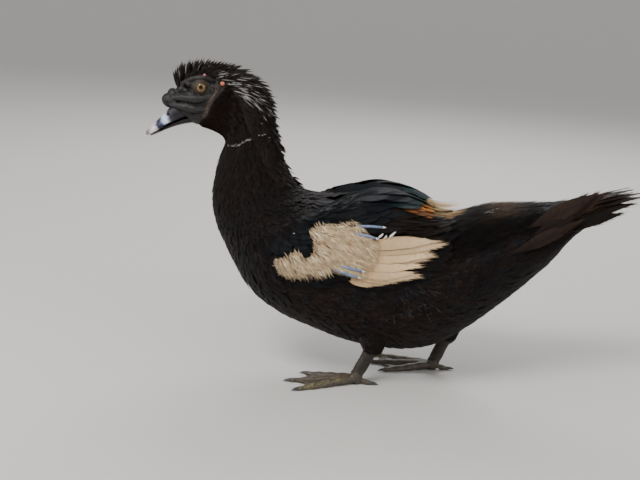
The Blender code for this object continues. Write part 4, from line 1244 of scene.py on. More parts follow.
PUPIL = np.array((0.002, 0.002, 0.0025))
IRIS_RINGS = (   # radius where it begins, softness, colour, brightness, brightness of the rays
    (2.15, 0.35, np.array((0.10, 0.045, 0.012)), 1.0, 0.0),
    (2.5, 0.8, np.array((0.17, 0.095, 0.024)), 0.7, 0.6),
    (3.3, 0.9, np.array((0.27, 0.17, 0.055)), 0.75, 0.5),
    (4.6, 0.5, np.array((0.010, 0.007, 0.004)), 1.0, 0.0),
)


def make_eye(side, label):
    x, y, z = EYE
    eye = ball(f"eyeball_{label}", (x, side * y, z), (EYE_RADIUS,) * 3, 0, eye_gloss, 96, 64)
    spots = points_of(eye)
    centre = turned(np.array((x, side * y, z)))
    gaze = unit(turned(np.array((x + 0.2, side * (y + 8), z + 0.3))) - centre)
    off = spots - centre
    depth = off @ gaze
    ring = np.linalg.norm(off - depth[:, None] * gaze, axis=1)
    ring = np.where(depth > 0, ring, 20)
    bulge = 0.2 * smooth(1 - ring / 6.0)
    move_points(eye, spots + gaze * bulge[:, None])
    turn = np.arctan2(off[:, 2], off[:, 0])
    rays = grain_at(np.stack([np.cos(turn) * 9, np.sin(turn) * 9, ring * 0.35], -1), 1.0)
    colour = PUPIL
    for start, softness, tint, bright, ray_share in IRIS_RINGS:
        tint = tint * (bright + ray_share * rays[:, None])
        colour = blend_colour(colour, tint, smooth((ring - start) / softness))
    paint(eye, colour)
    dress(eye, "eye", f"eye_{label}")


make_eye(-1, "left")
make_eye(1, "right")

for name, rings in claw_rings:
    claw = piece(name.replace("claw_", "claw_horn_"), shell(rings), claw_horn)
    spots = points_of(claw)
    tipward = smooth((4.0 - spots[:, 2]) / 3)
    paint(claw, blend_colour(np.array((0.03, 0.03, 0.034)), np.array((0.10, 0.10, 0.11)), tipward * 0.6))
    dress(claw, "claw", name)


# Wings.

# Station, then degrees from the back of the folded wing's upper and lower edge.
WING_SPAN = np.array((
    (15.2, 60, 80), (16.0, 38, 104), (17.0, 24, 105), (18.0, 14, 104), (19.0, 8, 99), (20.0, 5, 95),
    (21.0, 4, 91), (22.0, 4, 88), (23.0, 5, 82), (23.7, 7, 76), (24.6, 9, 66),
))
# Station and the height of the wing over the body.
WING_HEIGHTS = (
    (15.2, 1.5), (16.0, 4.0), (17.0, 7.5), (18.5, 10.5), (20.0, 11.5), (21.5, 11.0),
    (22.6, 8.5), (23.6, 6.0), (24.6, 3.5),
)


def wing_edges(t):
    """Degrees from the back of both edges at a station."""
    return (np.interp(t, WING_SPAN[:, 0], WING_SPAN[:, column]) for column in (1, 2))


def wing_height(t, degrees):
    """Height of the folded wing over the body."""
    upper, lower = wing_edges(t)
    rise = smooth((degrees - upper) / 13)
    fall = smooth((lower - degrees) / 12)
    slope = mix(1.0, 0.6, smooth((degrees - 36) / 34))
    return 1.7 + spread(WING_HEIGHTS, t) * rise * fall * slope


def wing_bed(label, side):
    rings = []
    share = np.linspace(0, 1, 40)
    for t in np.linspace(15.2, 24.4, 70):
        upper, lower = wing_edges(t)
        degrees = upper + (lower - upper) * share
        angle = side * np.radians(degrees)
        points, normals, _ = skin_frame(np.full(40, t), angle)
        top = points + normals * (wing_height(t, degrees) - 2.2)[:, None]
        under = points - normals * 6.0
        rings.append(np.concatenate([top, under[::-1]]))
    bed = piece(f"wing_bed_{label}", shell(np.array(rings)), under_skin)
    dress(bed, "gloss_feather", f"wing_{label}", f"wing_patch_{label}")


wing_bed("left", 1)
wing_bed("right", -1)


# Station, half spread in degrees, length, middle angle from the surface.
CREST_TABLE = np.array((
    (0.95, 9, 28, 44), (1.3, 12, 28, 48), (1.65, 15, 27, 52), (2.2, 18, 24, 54), (2.9, 23, 20, 50),
    (3.6, 30, 19, 45), (4.4, 40, 21, 37), (5.2, 52, 25, 31), (5.9, 62, 28, 29), (6.6, 66, 27, 29),
    (7.4, 64, 22, 30), (8.3, 58, 18, 27), (9.1, 54, 16, 21), (9.9, 50, 15, 17), (10.8, 45, 14, 13),
    (11.8, 38, 13, 10),
), float)


# Feather blanks.
BODY_WIDTHS = (0.3, 0.72, 0.96, 1.0, 0.9, 0.62, 0.16)
NARROW_WIDTHS = (0.35, 0.8, 1.0, 0.95, 0.75, 0.45, 0.06)
LARGE_WIDTHS = (0.3, 0.7, 0.9, 1.0, 1.0, 0.95, 0.8, 0.52, 0.12)
FLIGHT_WIDTHS = (0.38, 0.64, 0.84, 0.96, 1.0, 0.96, 0.87, 0.73, 0.55, 0.36, 0.18, 0.03)
TAIL_WIDTHS = (0.08, 0.30, 0.55, 0.78, 0.94, 1.0, 0.96, 0.84, 0.66, 0.44, 0.2, 0.03)
body_blanks = [vane_blank(BODY_WIDTHS, seed, 0.08, 0.5, 6) for seed in range(5)]
small_blanks = [vane_blank((0.3, 0.96, 0.9, 0.16, 0.16), 20 + seed, 0.1, 0.5) for seed in range(4)]
large_blanks = [vane_blank(LARGE_WIDTHS, 40 + seed, 0.035, 0.8, 10, 0.08) for seed in range(4)]
lance_blanks = [vane_blank(NARROW_WIDTHS, 60 + seed, 0.14, 0.3, 6, 0.3) for seed in range(6)]
flight_blanks = [frayed_blank(90 + seed, FLIGHT_WIDTHS) for seed in range(5)]
tail_blanks = [frayed_blank(80 + seed, TAIL_WIDTHS, 72) for seed in range(5)]
plume_blanks = [plume_blank(26, 100 + seed, 0.95, 0.05, 0.07) for seed in range(5)]
wisp_blanks = [plume_blank(14, 120 + seed, 1.0, 0.2, 0.06) for seed in range(4)]
tuft_blanks = [tuft_blank(4, 140 + seed) for seed in range(4)]
hair_blanks = [vane_blank((0.6, 1.0, 0.85, 0.5, 0.06), 150 + seed, 0.14, 0.3) for seed in range(5)]

BLACK = np.array((0.0056, 0.0036, 0.0031))
BLACK_EDGE = np.array((0.019, 0.0130, 0.0115))
BLUE_BLACK = np.array((0.0050, 0.0058, 0.0085))
BROWN = np.array((0.050, 0.030, 0.018))
SLATE = np.array((0.0056, 0.0068, 0.0076))
# teal painted on the rear of the hump as its sheen
TEAL_SHEEN = np.array((0.005, 0.019, 0.020))
CREAM = np.array((0.60, 0.41, 0.225))
WHITE = np.array((0.86, 0.69, 0.49))
STRAW = np.array((0.56, 0.38, 0.19))
ORANGE = np.array((0.34, 0.125, 0.025))
RUST = np.array((0.16, 0.060, 0.020))
SHOULDER_BLUE = np.array((0.0050, 0.0072, 0.0092))
PALE = np.array((0.72, 0.70, 0.69))
FINE = 0.35               # thickness of a body feather, in millimetres


def body_coat(name, t_range, degree_range, spacing, seed, length, width, blanks, colours,
              finish=black_plumage, keep=None, tip_lift=0.4):
    """Feathers scattered over a part of the body. Colours is a function of station and degrees
    and gives root, tip, edge and edge share."""
    t, angle = scattered(t_range, degree_range, spacing, seed, keep)
    degrees = from_back(angle)
    count = len(t)
    chance = np.random.default_rng(seed + 1)
    reach = measured(length, t, degrees) * chance.uniform(0.88, 1.12, count)
    tip_t = np.minimum(t + reach / lengths_back(t, angle), LAST)
    sway = np.radians(chance.uniform(-3.0, 3.0, count) * 12 / np.maximum(reach, 8))
    root_lift = 0.2 - coat_depth(t, degrees)
    tip_lift = tip_lift + chance.uniform(-0.3, 0.5, count)
    roll = chance.uniform(-5, 7, count)
    plumes = laid(t, angle, tip_t, angle + sway, root_lift, tip_lift, roll=roll, bow=0.5)
    root, tip, edge, share = colours(t, degrees, chance)
    wide = measured(width, t, degrees) * chance.uniform(0.9, 1.1, count)
    coat(name, finish, plumes, blanks, wide, FINE, root, tip, edge, share, seed=seed)


def along_body(*rows):
    """A measure read between rows of (station, value)."""
    return lambda t, degrees: spread(rows, t)


def dark_colours(t, degrees, chance):
    count = len(t)
    shade = chance.uniform(0.7, 1.3, (count, 1))
    bluish = smooth((chance.random(count) - 0.4) / 0.5)[:, None] * smooth((t - 11) / 3)[:, None]
    tip = (BLACK * (1 - bluish) + BLUE_BLACK * bluish) * shade
    edge = np.broadcast_to(BLACK_EDGE, (count, 3)) * shade
    return BLACK * shade, tip, edge, chance.uniform(0.15, 0.5, count)


def shaded_colours(t, degrees, chance):
    """Painted shade: deeper black along the rear of the back, near the ridge, where the light strikes.
    """
    root, tip, edge, share = dark_colours(t, degrees, chance)
    ridge_shade = (1 - 0.5 * smooth((66 - degrees) / 24) * smooth((t - 19) / 2))
    return root * ridge_shade[:, None], tip * ridge_shade[:, None], edge * ridge_shade[:, None] ** 1.5, share * ridge_shade


def warm_colours(t, degrees, chance):
    root, tip, edge, share = dark_colours(t, degrees, chance)
    warm = np.array((1.75, 1.52, 1.38))
    return root * warm, tip * warm, edge * warm, share


def clear_of_wing(t, degrees):
    upper, lower = wing_edges(t)
    return ~((t > 16.4) & (t < 23.4) & (degrees > upper + 7) & (degrees < lower - 6))


def on_cheek(t, degrees):
    half = np.interp(t, CREST_TABLE[:, 0], CREST_TABLE[:, 1])
    return (past_border(t, degrees) > 0.6) & (degrees > half * 0.95)


def on_neck(t, degrees):
    return (t > 6.0) | (degrees > 60)


body_coat("neck_feathers", (4.9, 13.2), (0, 180), along_body((5, 2.6), (13, 4.0)), 1,
          along_body((5, 9), (8, 12), (13, 16)), along_body((5, 4.2), (13, 7.5)),
          body_blanks, dark_colours, keep=on_neck)
body_coat("breast_feathers", (12.8, 18.4), (0, 180), along_body((13, 4.4), (18, 5.6)), 2,
          along_body((13, 17), (18, 23)), along_body((13, 8.5), (18, 12)),
          body_blanks, dark_colours, keep=clear_of_wing)
body_coat("belly_feathers", (17.8, 25.0), (60, 180), 5.6, 3, 24, 12, body_blanks, warm_colours,
          keep=clear_of_wing)
body_coat("back_feathers", (17.5, 24.5), (0, 62), 6.2, 4, 26, 13, body_blanks, shaded_colours,
          keep=clear_of_wing)
body_coat("rump_feathers", (23.8, 30.5), (0, 180), 5.4, 5, 25, 12, body_blanks, shaded_colours)
body_coat("tail_base_feathers", (29.8, 32.3), (0, 180), 4.4, 6, 17, 9, body_blanks, dark_colours)
body_coat("cheek_feathers", (0.9, 6.6), (40, 180), 1.12, 7, 4.6, 2.4, tuft_blanks, warm_colours,
          velvet_plumage, keep=on_cheek)


# The wings' feathers.

# The white patch and its border against the dark feathers, as x and z on the left side.
PATCH_OUTLINE = np.array((
    (-103, 162), (-96, 150), (-91, 144), (-71, 143), (-45, 147), (-36, 152.5), (-28, 157),
    (-12, 151), (2, 148.5), (24, 141), (41, 146), (68, 152), (58, 166), (82, 175), (74, 184.5),
    (101, 190), (91, 196), (67, 201), (38, 201), (30, 196.5), (18, 189), (8, 198), (1, 207),
    (-14, 217), (-22, 213), (-30, 209), (-51, 209), (-63, 201), (-59.5, 194), (-53, 183),
    (-56, 172), (-67, 171.5), (-77, 176), (-90, 168),
), float)
# Height and how far back the pale coverts reach.
COVERT_END = ((140, 4), (150, 6), (160, 14), (172, 20), (189, 22), (210, 14))


def inside(outline, x, z):
    """Which points lie within an outline, by counting crossings."""
    found = np.zeros(np.shape(x), bool)
    for (x0, z0), (x1, z1) in zip(outline, np.roll(outline, -1, axis=0)):
        crosses = (z0 > z) != (z1 > z)
        at = x0 + (z - z0) * (x1 - x0) / (z1 - z0 + 1e-9)
        found ^= crosses & (x < at)
    return found


def on_wing(t, degrees, lift=1.0):
    """Points on the left folded wing."""
    points, normals, _ = skin_frame(t, np.radians(degrees))
    return points + normals * (wing_height(t, degrees) + lift)[..., None]


def over_ridge(t, degrees):
    """Feathers beside the ridge tilt down towards it."""
    return 2 + 34 * (1 - smooth((degrees - 7) / 15))


def uneven(low, high, seed):
    return lambda t, degrees: np.random.default_rng(seed).uniform(low, high, np.shape(t))


def wing_coat(name, t_range, degree_range, spacing, seed, length, width, blanks, colours, finish, keep,
              drift=0.0, root_lift=-1.9, tip_lift=2.4, roll=7, thickness=0.4, bow=0.0, swing=1.5,
              clump=0.0, slot="gloss_feather"):
    """Feathers scattered over both folded wings, lying on the wing's height. Clump turns
    neighbours the same way."""
    t, angle = scattered(t_range, degree_range, spacing, seed)
    degrees = from_back(angle)
    chance = np.random.default_rng(seed + 1)
    reach = measured(length, t, degrees) * chance.uniform(0.9, 1.1, len(t))
    tip_t = t + reach / lengths_back(t, angle)
    tip_degrees = degrees + drift + chance.uniform(-swing, swing, len(t))
    if clump:
        tip_degrees = tip_degrees + clump * (2 * grain_at(on_wing(t, degrees), 0.13, seed) - 1)
    chosen = keep(t, degrees, on_wing(tip_t, tip_degrees, 2.0))
    t, angle, degrees, tip_t, tip_degrees = (v[chosen] for v in (t, angle, degrees, tip_t, tip_degrees))
    count = len(t)
    tip_angle = np.sign(angle) * np.radians(tip_degrees)
    tip_lift = tip_lift + chance.uniform(-0.3, 0.3, count)
    roll = measured(roll, t, degrees) + chance.uniform(-3, 3, count)
    plumes = laid(t, angle, tip_t, tip_angle, root_lift, tip_lift, wing_height, roll, 7, bow)
    root, tip, edge, share = colours(t, degrees, chance)
    wide = measured(width, t, degrees) * chance.uniform(0.9, 1.1, count)
    coat(name, finish, plumes, blanks, wide, thickness, root, tip, edge, share, seed=seed, slot=slot)


def painted_sheen_colours(t, degrees, chance):
    """Slate with a painted blue sheen; a painted teal sheen at the upper end of the rear, brown-black
    below it. Feathers near the ridge are lighter as painted light.
    """
    count = len(t)
    shade = chance.uniform(0.75, 1.25, (count, 1))
    rear = (smooth((t - 19.6) / 1.4) * smooth((36 - degrees) / 12))[:, None]
    line = spread(((18.4, 42), (19.6, 36), (21.6, 25)), t)
    low = smooth((degrees - line) / 9)[:, None]
    low = low * smooth((t - 18.0) / 1.2)[:, None]
    base = ((SLATE * (1 - rear) + TEAL_SHEEN * rear) * (1 - low) + BLACK_EDGE * 0.5 * low) * shade
    # painted sheen: a bluish cast over the middle of the hump
    blue = np.exp(-((t - 18.6) / 1.2) ** 2)[:, None] * smooth((52 - degrees) / 20)[:, None]
    base = base * (1 + blue * np.array((-0.1, 0.05, 0.45)))
    # painted light: feathers beside the ridge made lighter
    base = base * (0.84 + 0.3 * smooth((14 - degrees) / 9))[:, None]
    return base * 0.7, base * 1.1, base * 1.4, chance.uniform(0.1, 0.4, count)


def orange_colours(t, degrees, chance):
    """Orange above, rust brown below."""
    share = smooth((degrees - 22) / 6)[:, None]
    tip = ORANGE * 1.15 * (1 - share) + RUST * share
    tip = tip * chance.uniform(0.7, 1.3, (len(t), 1))
    return tip * 0.4, tip, tip * 0.5, chance.uniform(0, 0.5, len(t))


def shoulder_colours(t, degrees, chance):
    count = len(t)
    shade = chance.uniform(0.6, 1.4, (count, 1))
    tip = SHOULDER_BLUE * shade
    return BLACK * shade, tip, SHOULDER_BLUE * 2.4 * shade, chance.uniform(0.1, 0.5, count)


def in_patch(points):
    """Which points on the wing lie within the white patch, seen from the side."""
    return inside(PATCH_OUTLINE, points[:, 0], points[:, 2])


def on_dark_wing(t, degrees, tips):
    middles = (on_wing(t, degrees) + tips) / 2
    return ~in_patch(tips) & ~in_patch(middles) & (tips[:, 0] < 103)


def short_of_orange(t, degrees, tips):
    beyond = (tips[:, 0] > 75) & (degrees > 16) & (degrees < 34)
    return on_dark_wing(t, degrees, tips) & ~beyond


def everywhere(t, degrees, tips):
    return tips[:, 0] < 128


def with_dark(colour, t, chance, rows):
    """Some of the pale feathers are black, by shares read between rows of (station, share)."""
    dark = chance.random(len(t)) < spread(rows, t)
    return np.where(dark[:, None], BLACK * 2, colour)


def cream_colours(t, degrees, chance):
    count = len(t)
    share = chance.uniform(0, 1, (count, 1))
    base = CREAM * (1 - share) + WHITE * share
    base = with_dark(base, t, chance, ((15, 0.25), (16.6, 0.12), (17.5, 0.0)))
    return base * 0.72, base, base, np.zeros(count)


def dim_cream_colours(t, degrees, chance):
    root, tip, edge, share = cream_colours(t, degrees, chance)
    return root * 0.6, tip * 0.85, edge * 0.9, share


def strand_colours(t, degrees, chance):
    """Separate pale hairs, some in shade; black ones stand among them at the front."""
    count = len(t)
    cloud = 0.55 + 0.9 * grain_at(on_wing(t, degrees), 0.17, 5.0)
    tone = chance.uniform(0.62, 1.3, (count, 1)) * cloud[:, None]
    base = (CREAM * 0.4 + WHITE * 0.95) * tone
    base = with_dark(base, t, chance, ((15, 0.5), (16.4, 0.4), (17.2, 0.1), (18.5, 0.02), (20, 0.0)))
    return base * 0.6, base, base, np.zeros(count)


def whole_in_patch(roots, tips, shares):
    """Which feathers lie within the patch at all these shares of their length."""
    return np.all([in_patch(mix(roots, tips, share)) for share in shares], axis=0)


def near_coverts(t, degrees, tips):
    found = whole_in_patch(on_wing(t, degrees), tips, (0.2, 0.6))
    return found & (tips[:, 0] < spread(COVERT_END, tips[:, 2]) + 3)


def on_coverts(t, degrees, tips):
    roots = on_wing(t, degrees)
    ends = mix(roots, tips, 0.8)
    return whole_in_patch(roots, tips, (0.3, 0.65, 1.0)) & (ends[:, 0] < spread(COVERT_END, ends[:, 2]))


def rear_wing_colours(t, degrees, chance):
    return BLACK, BROWN * 0.12, BROWN * 0.3, chance.uniform(0, 0.6, len(t))


wing_coat("wing_under_feathers", (15.3, 23.6), (6, 104), 7.0, 29, 27, 14, body_blanks, shaded_colours,
          black_plumage, everywhere, root_lift=-3.0, tip_lift=-0.6, roll=over_ridge)
wing_coat("shoulder_feathers", (15.2, 18.6), (22, 100), 5.2, 30, 23, 13, body_blanks, shoulder_colours,
          gloss_plumage, on_dark_wing, root_lift=-1.5, tip_lift=1.8)
wing_coat("back_wing_feathers", (16.4, 21.6), (3, 62), 7.6, 31, 40, 24, large_blanks, painted_sheen_colours,
          gloss_plumage, short_of_orange, 0.5, roll=over_ridge, thickness=0.3)
wing_coat("hump_end_feathers", (18.6, 21.6), (2, 27), 7.2, 34, 38, 20, large_blanks, painted_sheen_colours,
          gloss_plumage, short_of_orange, -2.0, 1.0, 6.5, over_ridge, 0.3, bow=1.5)
wing_coat("white_under_feathers", (15.6, 21.6), (38, 105), 4.2, 32, 15, 9.5, body_blanks,
          dim_cream_colours, white_plumage, on_coverts, 3.0, -1.4, 1.0, 5, slot="white_feather")
wing_coat("white_covert_feathers", (15.6, 20.9), (38, 105), 3.4, 33, 21, 9.5, plume_blanks,
          cream_colours, white_plumage, on_coverts, 3.0, -1.6, 2.6, 3, swing=4.0, slot="white_feather")
wing_coat("white_covert_strands", (15.5, 20.9), (36, 106), 1.5, 35, uneven(8, 20, 36),
          uneven(0.5, 1.25, 37), hair_blanks, strand_colours, white_plumage, near_coverts, 4.5, 0.6, 3.9,
          0, swing=2.2, clump=8.0, slot="white_feather")
wing_coat("orange_feathers", (21.4, 22.4), (18, 30), 3.8, 91, 20, 7, body_blanks, orange_colours,
          black_plumage, everywhere, root_lift=2.6, tip_lift=5.0)
wing_coat("rear_wing_feathers", (20.6, 23.0), (27, 48), 5.6, 98, 34, 8, lance_blanks, rear_wing_colours,
          black_plumage, everywhere, -5.0, 0.5, 4.2, swing=5.0)

# Flight feathers left after clipping: x and z at the root and at the tip, width.
FLIGHTS = (
    (-2, 187, 94, 193, 15), (2, 183, 101, 190, 17), (4, 180, 94, 187, 14),
    (0, 176, 85, 177, 15), (4, 173, 80, 180.5, 13), (0, 171, 78, 173, 13),
    (-2, 166, 71, 165.5, 14), (2, 163, 64, 168, 12),
    (-4, 159, 70, 153, 15), (-2, 156, 63, 157, 13), (-8, 153, 58, 149.5, 13),
    (-10, 150, 43, 146, 14), (-14, 148, 26, 142, 13),
)
FLIGHT_TIP = np.array((0.90, 0.67, 0.42))
SEARCHED = {}             # grids of places already made, by their ranges


def located(x, z, t_range=(14, 27), degree_range=(2, 150), wing=False):
    """Station and angle of the place on the left side whose x and z these are."""
    key = (t_range, degree_range, wing)
    if key not in SEARCHED:
        stations, turns = np.linspace(*t_range, 261), np.linspace(*degree_range, 297)
        t, degrees = np.meshgrid(stations, turns, indexing="ij")
        angle = np.radians(degrees)
        SEARCHED[key] = t, angle, (on_wing(t, degrees) if wing else bare(t, angle))
    t, angle, points = SEARCHED[key]
    gap = (points[..., 0] - x) ** 2 + (points[..., 2] - z) ** 2
    found = np.unravel_index(np.argmin(gap), gap.shape)
    return float(t[found]), float(angle[found])


def on_both_wings(rows):
    """Stations and signed angles on both wings for rows of (x, z)."""
    t, angle = np.array([located(x, z, wing=True) for x, z in rows]).T
    return np.concatenate([t, t]), np.concatenate([angle, -angle])


def flight_feathers():
    chance = np.random.default_rng(50)
    rows = np.array(FLIGHTS, float)
    t, angle = on_both_wings(rows[:, :2])
    tip_t, tip_angle = on_both_wings(rows[:, 2:4])
    count = len(t)
    order = np.tile(np.arange(len(rows)) % 3, 2)
    plumes = laid(t, angle, tip_t, tip_angle, -0.6 - 0.4 * order, 2.2 - 0.4 * order, wing_height,
                  7 + chance.uniform(-2, 2, count), 16, 1.4)
    shade = chance.uniform(0.8, 1.08, (count, 1))
    # the edges, CREAM * 0.85 at a share of 0.4, are painted shade between the feathers
    coat("flight_feathers", white_plumage, plumes, flight_blanks, np.tile(rows[:, 4], 2) * 1.14, 0.8,
         CREAM * shade, FLIGHT_TIP * shade, CREAM * 0.85, 0.4, seed=50, slot="white_feather")


flight_feathers()

# Stray hairs along the patch's front edge: x and z at the root, then the way they point.
FRINGE = (
    (-57, 174, -0.9, 0.3), (-54, 183, -0.9, 0.45), (-58.5, 193, -0.85, 0.6), (-60, 199, -0.7, 0.7),
    (-51, 206, -0.7, 0.7), (-38, 206, -0.75, 0.5), (-30, 206, -0.8, 0.5), (-22, 208, -0.8, 0.5),
    (-12, 212, -0.6, 0.6),
)
LOBE_FRINGE = (
    (-70, 171, -0.5, 0.85), (-78, 174, -0.5, 0.85), (-89, 166, -0.6, 0.8), (-100, 162, -0.9, 0.45),
    (-96, 152, -0.9, -0.3), (-91, 146, -0.6, -0.8), (-80, 145, -0.3, -0.95), (-68, 145, 0.2, -1.0),
    (-45, 148.5, 0.5, -0.85),
)


def patch_fringe():
    chance = np.random.default_rng(51)
    rows = np.concatenate([tempered(FRINGE, 80), tempered(LOBE_FRINGE, 80)])
    rows[:, :2] += chance.uniform(-1.6, 1.6, (len(rows), 2))
    way = rows[:, 2:] + chance.uniform(-0.35, 0.35, (len(rows), 2))
    t, angle = on_both_wings(rows[:, :2] - way * 3)
    tip_t, tip_angle = on_both_wings(rows[:, :2] + way * chance.uniform(1, 5.5, (len(rows), 1)))
    count = len(t)
    tip_lift = chance.uniform(2.8, 4.2, count)
    plumes = laid(t, angle, tip_t, tip_angle, 1.0, tip_lift, wing_height, 0.0, 5)
    shade = chance.uniform(0.6, 1.1, (count, 1))
    width = chance.uniform(0.5, 1.2, count)
    coat("white_fringe_feathers", white_plumage, plumes, hair_blanks, width, FINE, CREAM * shade,
         WHITE * shade, seed=52, slot="white_feather")


patch_fringe()

# Quills still in their sheaths: x, z at the root and at the end, radius.
QUILLS = (
    (-8, 208.5, 23, 207, 1.85), (-10, 200, 16, 195, 1.85), (-26, 163, 1, 158, 1.85),
    (-30, 157.5, -3, 150.5, 1.85),
)
# Pale stumps in the gap, with no sheath.
STUMPS = (
    (19, 196.5, 24, 200.5, 1.5), (26, 196, 28.5, 199, 1.1), (32, 197.5, 38.5, 203, 1.7),
    (6, 187, 11, 184.5, 0.9), (-82, 195.5, -80.5, 194.8, 0.45),
)
SHEATH_BLUE = np.array((0.15, 0.20, 0.33))


def on_patch(row, side, lift):
    """A path on the folded wing from one x and z to another."""
    x0, z0, x1, z1 = row[:4]
    share = np.linspace(0, 1, 12)
    found = np.array([located(mix(x0, x1, f), mix(z0, z1, f), wing=True) for f in share])
    t, angle = (np.polyval(np.polyfit(share, column, 2), share) for column in found.T)
    points, normals, _ = skin_frame(t, side * angle)
    return points + normals * (wing_height(t, np.degrees(angle)) + lift(share))[:, None]


def quills():
    """Blue-grey sheaths on the patch, each with a bare white tip, and pale stumps."""
    tubes, ends = [], []
    share = np.linspace(0, 1, 12)
    for side in (1, -1):
        for row in QUILLS:
            radius = row[4]
            path = on_patch(row, side, lambda share: 0.6 + 2.6 * smooth(share * 1.6))
            rings = limb_rings(path, radius * (1 - 0.25 * share ** 2), 14)
            tubes.append(piece("quill", shell(rings), quill_sheath))
            way = unit(path[-1] - path[-3])
            tail = path[-1] + way * np.linspace(-1.0, 4.0, 8)[:, None]
            sizes = np.interp(np.linspace(0, 1, 8), (0, 0.3, 1), (radius * 0.7, radius * 0.8, 0.3))
            ends.append(piece("quill_end", shell(limb_rings(tail, sizes, 10)), quill_end))
        for row in STUMPS:
            path = on_patch(row, side, lambda share: 0.4 + 1.6 * share)
            sizes = row[4] * np.interp(share, (0, 0.4, 1), (0.6, 1.0, 0.5))
            ends.append(piece("quill_end", shell(limb_rings(path, sizes, 10)), quill_end))
    for name, parts in (("quill_sheaths", tubes), ("quill_ends", ends)):
        united(parts[0], parts[1:])
        parts[0].name = name
        spots = points_of(parts[0])
        shade = 0.7 + 0.6 * grain_at(spots, 0.25, 3.0)[:, None]
        paint(parts[0], SHEATH_BLUE * shade)
        dress(parts[0], "white_feather")


quills()


# Tail feathers.

TAIL_FEATHERS = (   # x, side, z at root and tip, width, lean, brownness
    (248, 4, 226, 331, 7, 257, 17, 8, 0.5),
    (246, 7, 224, 336, 10, 254, 15, 14, 0.7),
    (244, 10, 221, 338, 13, 250, 18, 20, 0.5),
    (240, 16, 214, 334, 20, 243, 18, 34, 0.2),
    (233, 23, 204, 316, 29, 232, 18, 52, 0.05),
    (228, 26, 208, 296, 27, 257, 15, 60, 0.9),
    (200, 42, 209, 285, 29, 256, 19, 72, 1.0),
    (204, 43, 200, 276, 31, 244, 15, 76, 0.5),
    (180, 48, 179, 266, 33, 223, 16, 80, 0.8),
    (190, 46, 170, 258, 33, 207, 14, 82, 0.1),
)


TAIL_BROWN = np.array((0.0250, 0.0150, 0.0112))


def tail_feathers():
    chance = np.random.default_rng(60)
    share = np.linspace(0, 1, 12)[:, None]
    centres, normals, widths, tips = [], [], [], []
    for side in (-1, 1):
        for x0, y0, z0, x1, y1, z1, width, lean, brown in TAIL_FEATHERS:
            drop = 20 if side > 0 and lean > 55 else 0
            root = np.array((x0, side * y0, z0 - drop / 2), float)
            if lean > 70:
                t, angle = located(x0, z0 - drop / 2, (23, 32), (20, 150))
                point, outward, _ = skin_frame(t, -side * angle)
                root = point + outward * 0.5
            tip = np.array((x1 + chance.uniform(-3, 3), side * (y1 + chance.uniform(-1, 1)), z1 - drop))
            lean = math.radians(lean)
            face = np.array((0, side * math.sin(lean), math.cos(lean)))
            bow = face * chance.uniform(3, 5) * (0.3 if lean > 1.2 else 1)
            centres.append(root + (tip - root) * share + bow * np.sin(np.pi * share))
            normals.append(np.broadcast_to(face, (12, 3)))
            widths.append(width)
            tips.append(BLACK * (1 - brown) + TAIL_BROWN * brown)
    count = len(centres)
    tips = np.array(tips)
    t, angle = np.full(count, 30.0), np.linspace(-1, 1, count)
    plumes = frames_from(np.array(centres), np.array(normals), t, angle)
    coat("tail_feathers", black_plumage, plumes, tail_blanks, widths, 0.8, tips * 0.6, tips, tips * 1.7,
         0.5, seed=60)


tail_feathers()


# Loose plumes behind the wings, on the rump, the flanks and the tail.

def loose_coat(name, rows, seed, length, width, blanks, root, tip, finish, lift, drift=0.0, sway=3.0,
               slot="black_feather"):
    """Plumes at chosen places, as stations and degrees, on both sides."""
    chance = np.random.default_rng(seed)
    stations, degrees = np.array(rows, float).T
    count = 2 * len(rows)
    t = np.concatenate([stations, stations]) + chance.uniform(-0.05, 0.05, count)
    angle = np.radians(np.concatenate([degrees, -degrees]) + chance.uniform(-1, 1, count))
    reach = length * chance.uniform(0.75, 1.2, count)
    tip_t = np.minimum(t + reach / lengths_back(t, angle), LAST + 2.0)
    tip_angle = angle + np.sign(angle) * np.radians(drift + chance.uniform(-sway, sway, count))
    root_lift, tip_lift = lift
    tip_lift = tip_lift * chance.uniform(0.6, 1.2, count)
    roll = chance.uniform(-12, 12, count)
    plumes = laid(t, angle, tip_t, tip_angle, root_lift, tip_lift, roll=roll, steps=8)
    shade = chance.uniform(0.6, 1.2, (count, 1))
    wide = width * chance.uniform(0.8, 1.2, count)
    coat(name, finish, plumes, blanks, wide, 0.3, root * shade, tip * shade, seed=seed, slot=slot)


def sown(low, high, count, seed):
    """Random places between two stations and two angles."""
    chance = np.random.default_rng(seed)
    return chance.uniform(low, high, (count, 2))


loose_coat("straw_plumes", sown((21.7, 1), (22.9, 20), 24, 92), 92, 44, 7, wisp_blanks,
           STRAW * 0.7, STRAW * 1.25, white_plumage, (7.5, 12.0), -1.0, slot="white_feather")
loose_coat("bay_bristles", sown((14.9, 64), (16.3, 88), 26, 93), 93, 17, 4.0, wisp_blanks,
           BLACK, BLACK * 1.5, black_plumage, (5.0, 8.0), 12.0, slot="gloss_feather")

BROWN_SPOT = 26.2         # station of the brownest part of the rump


def hairy_colours(t, degrees, chance):
    count = len(t)
    shade = chance.uniform(0.4, 1.5, (count, 1))
    brown = (np.exp(-((t - BROWN_SPOT) / 0.8) ** 2) * smooth((40 - degrees) / 18))[:, None]
    tip = BROWN * (0.05 + 2.0 * brown) * shade
    return BLACK * shade, tip, BROWN * (0.08 + 2.6 * brown) * shade, chance.uniform(0, 0.5, count)


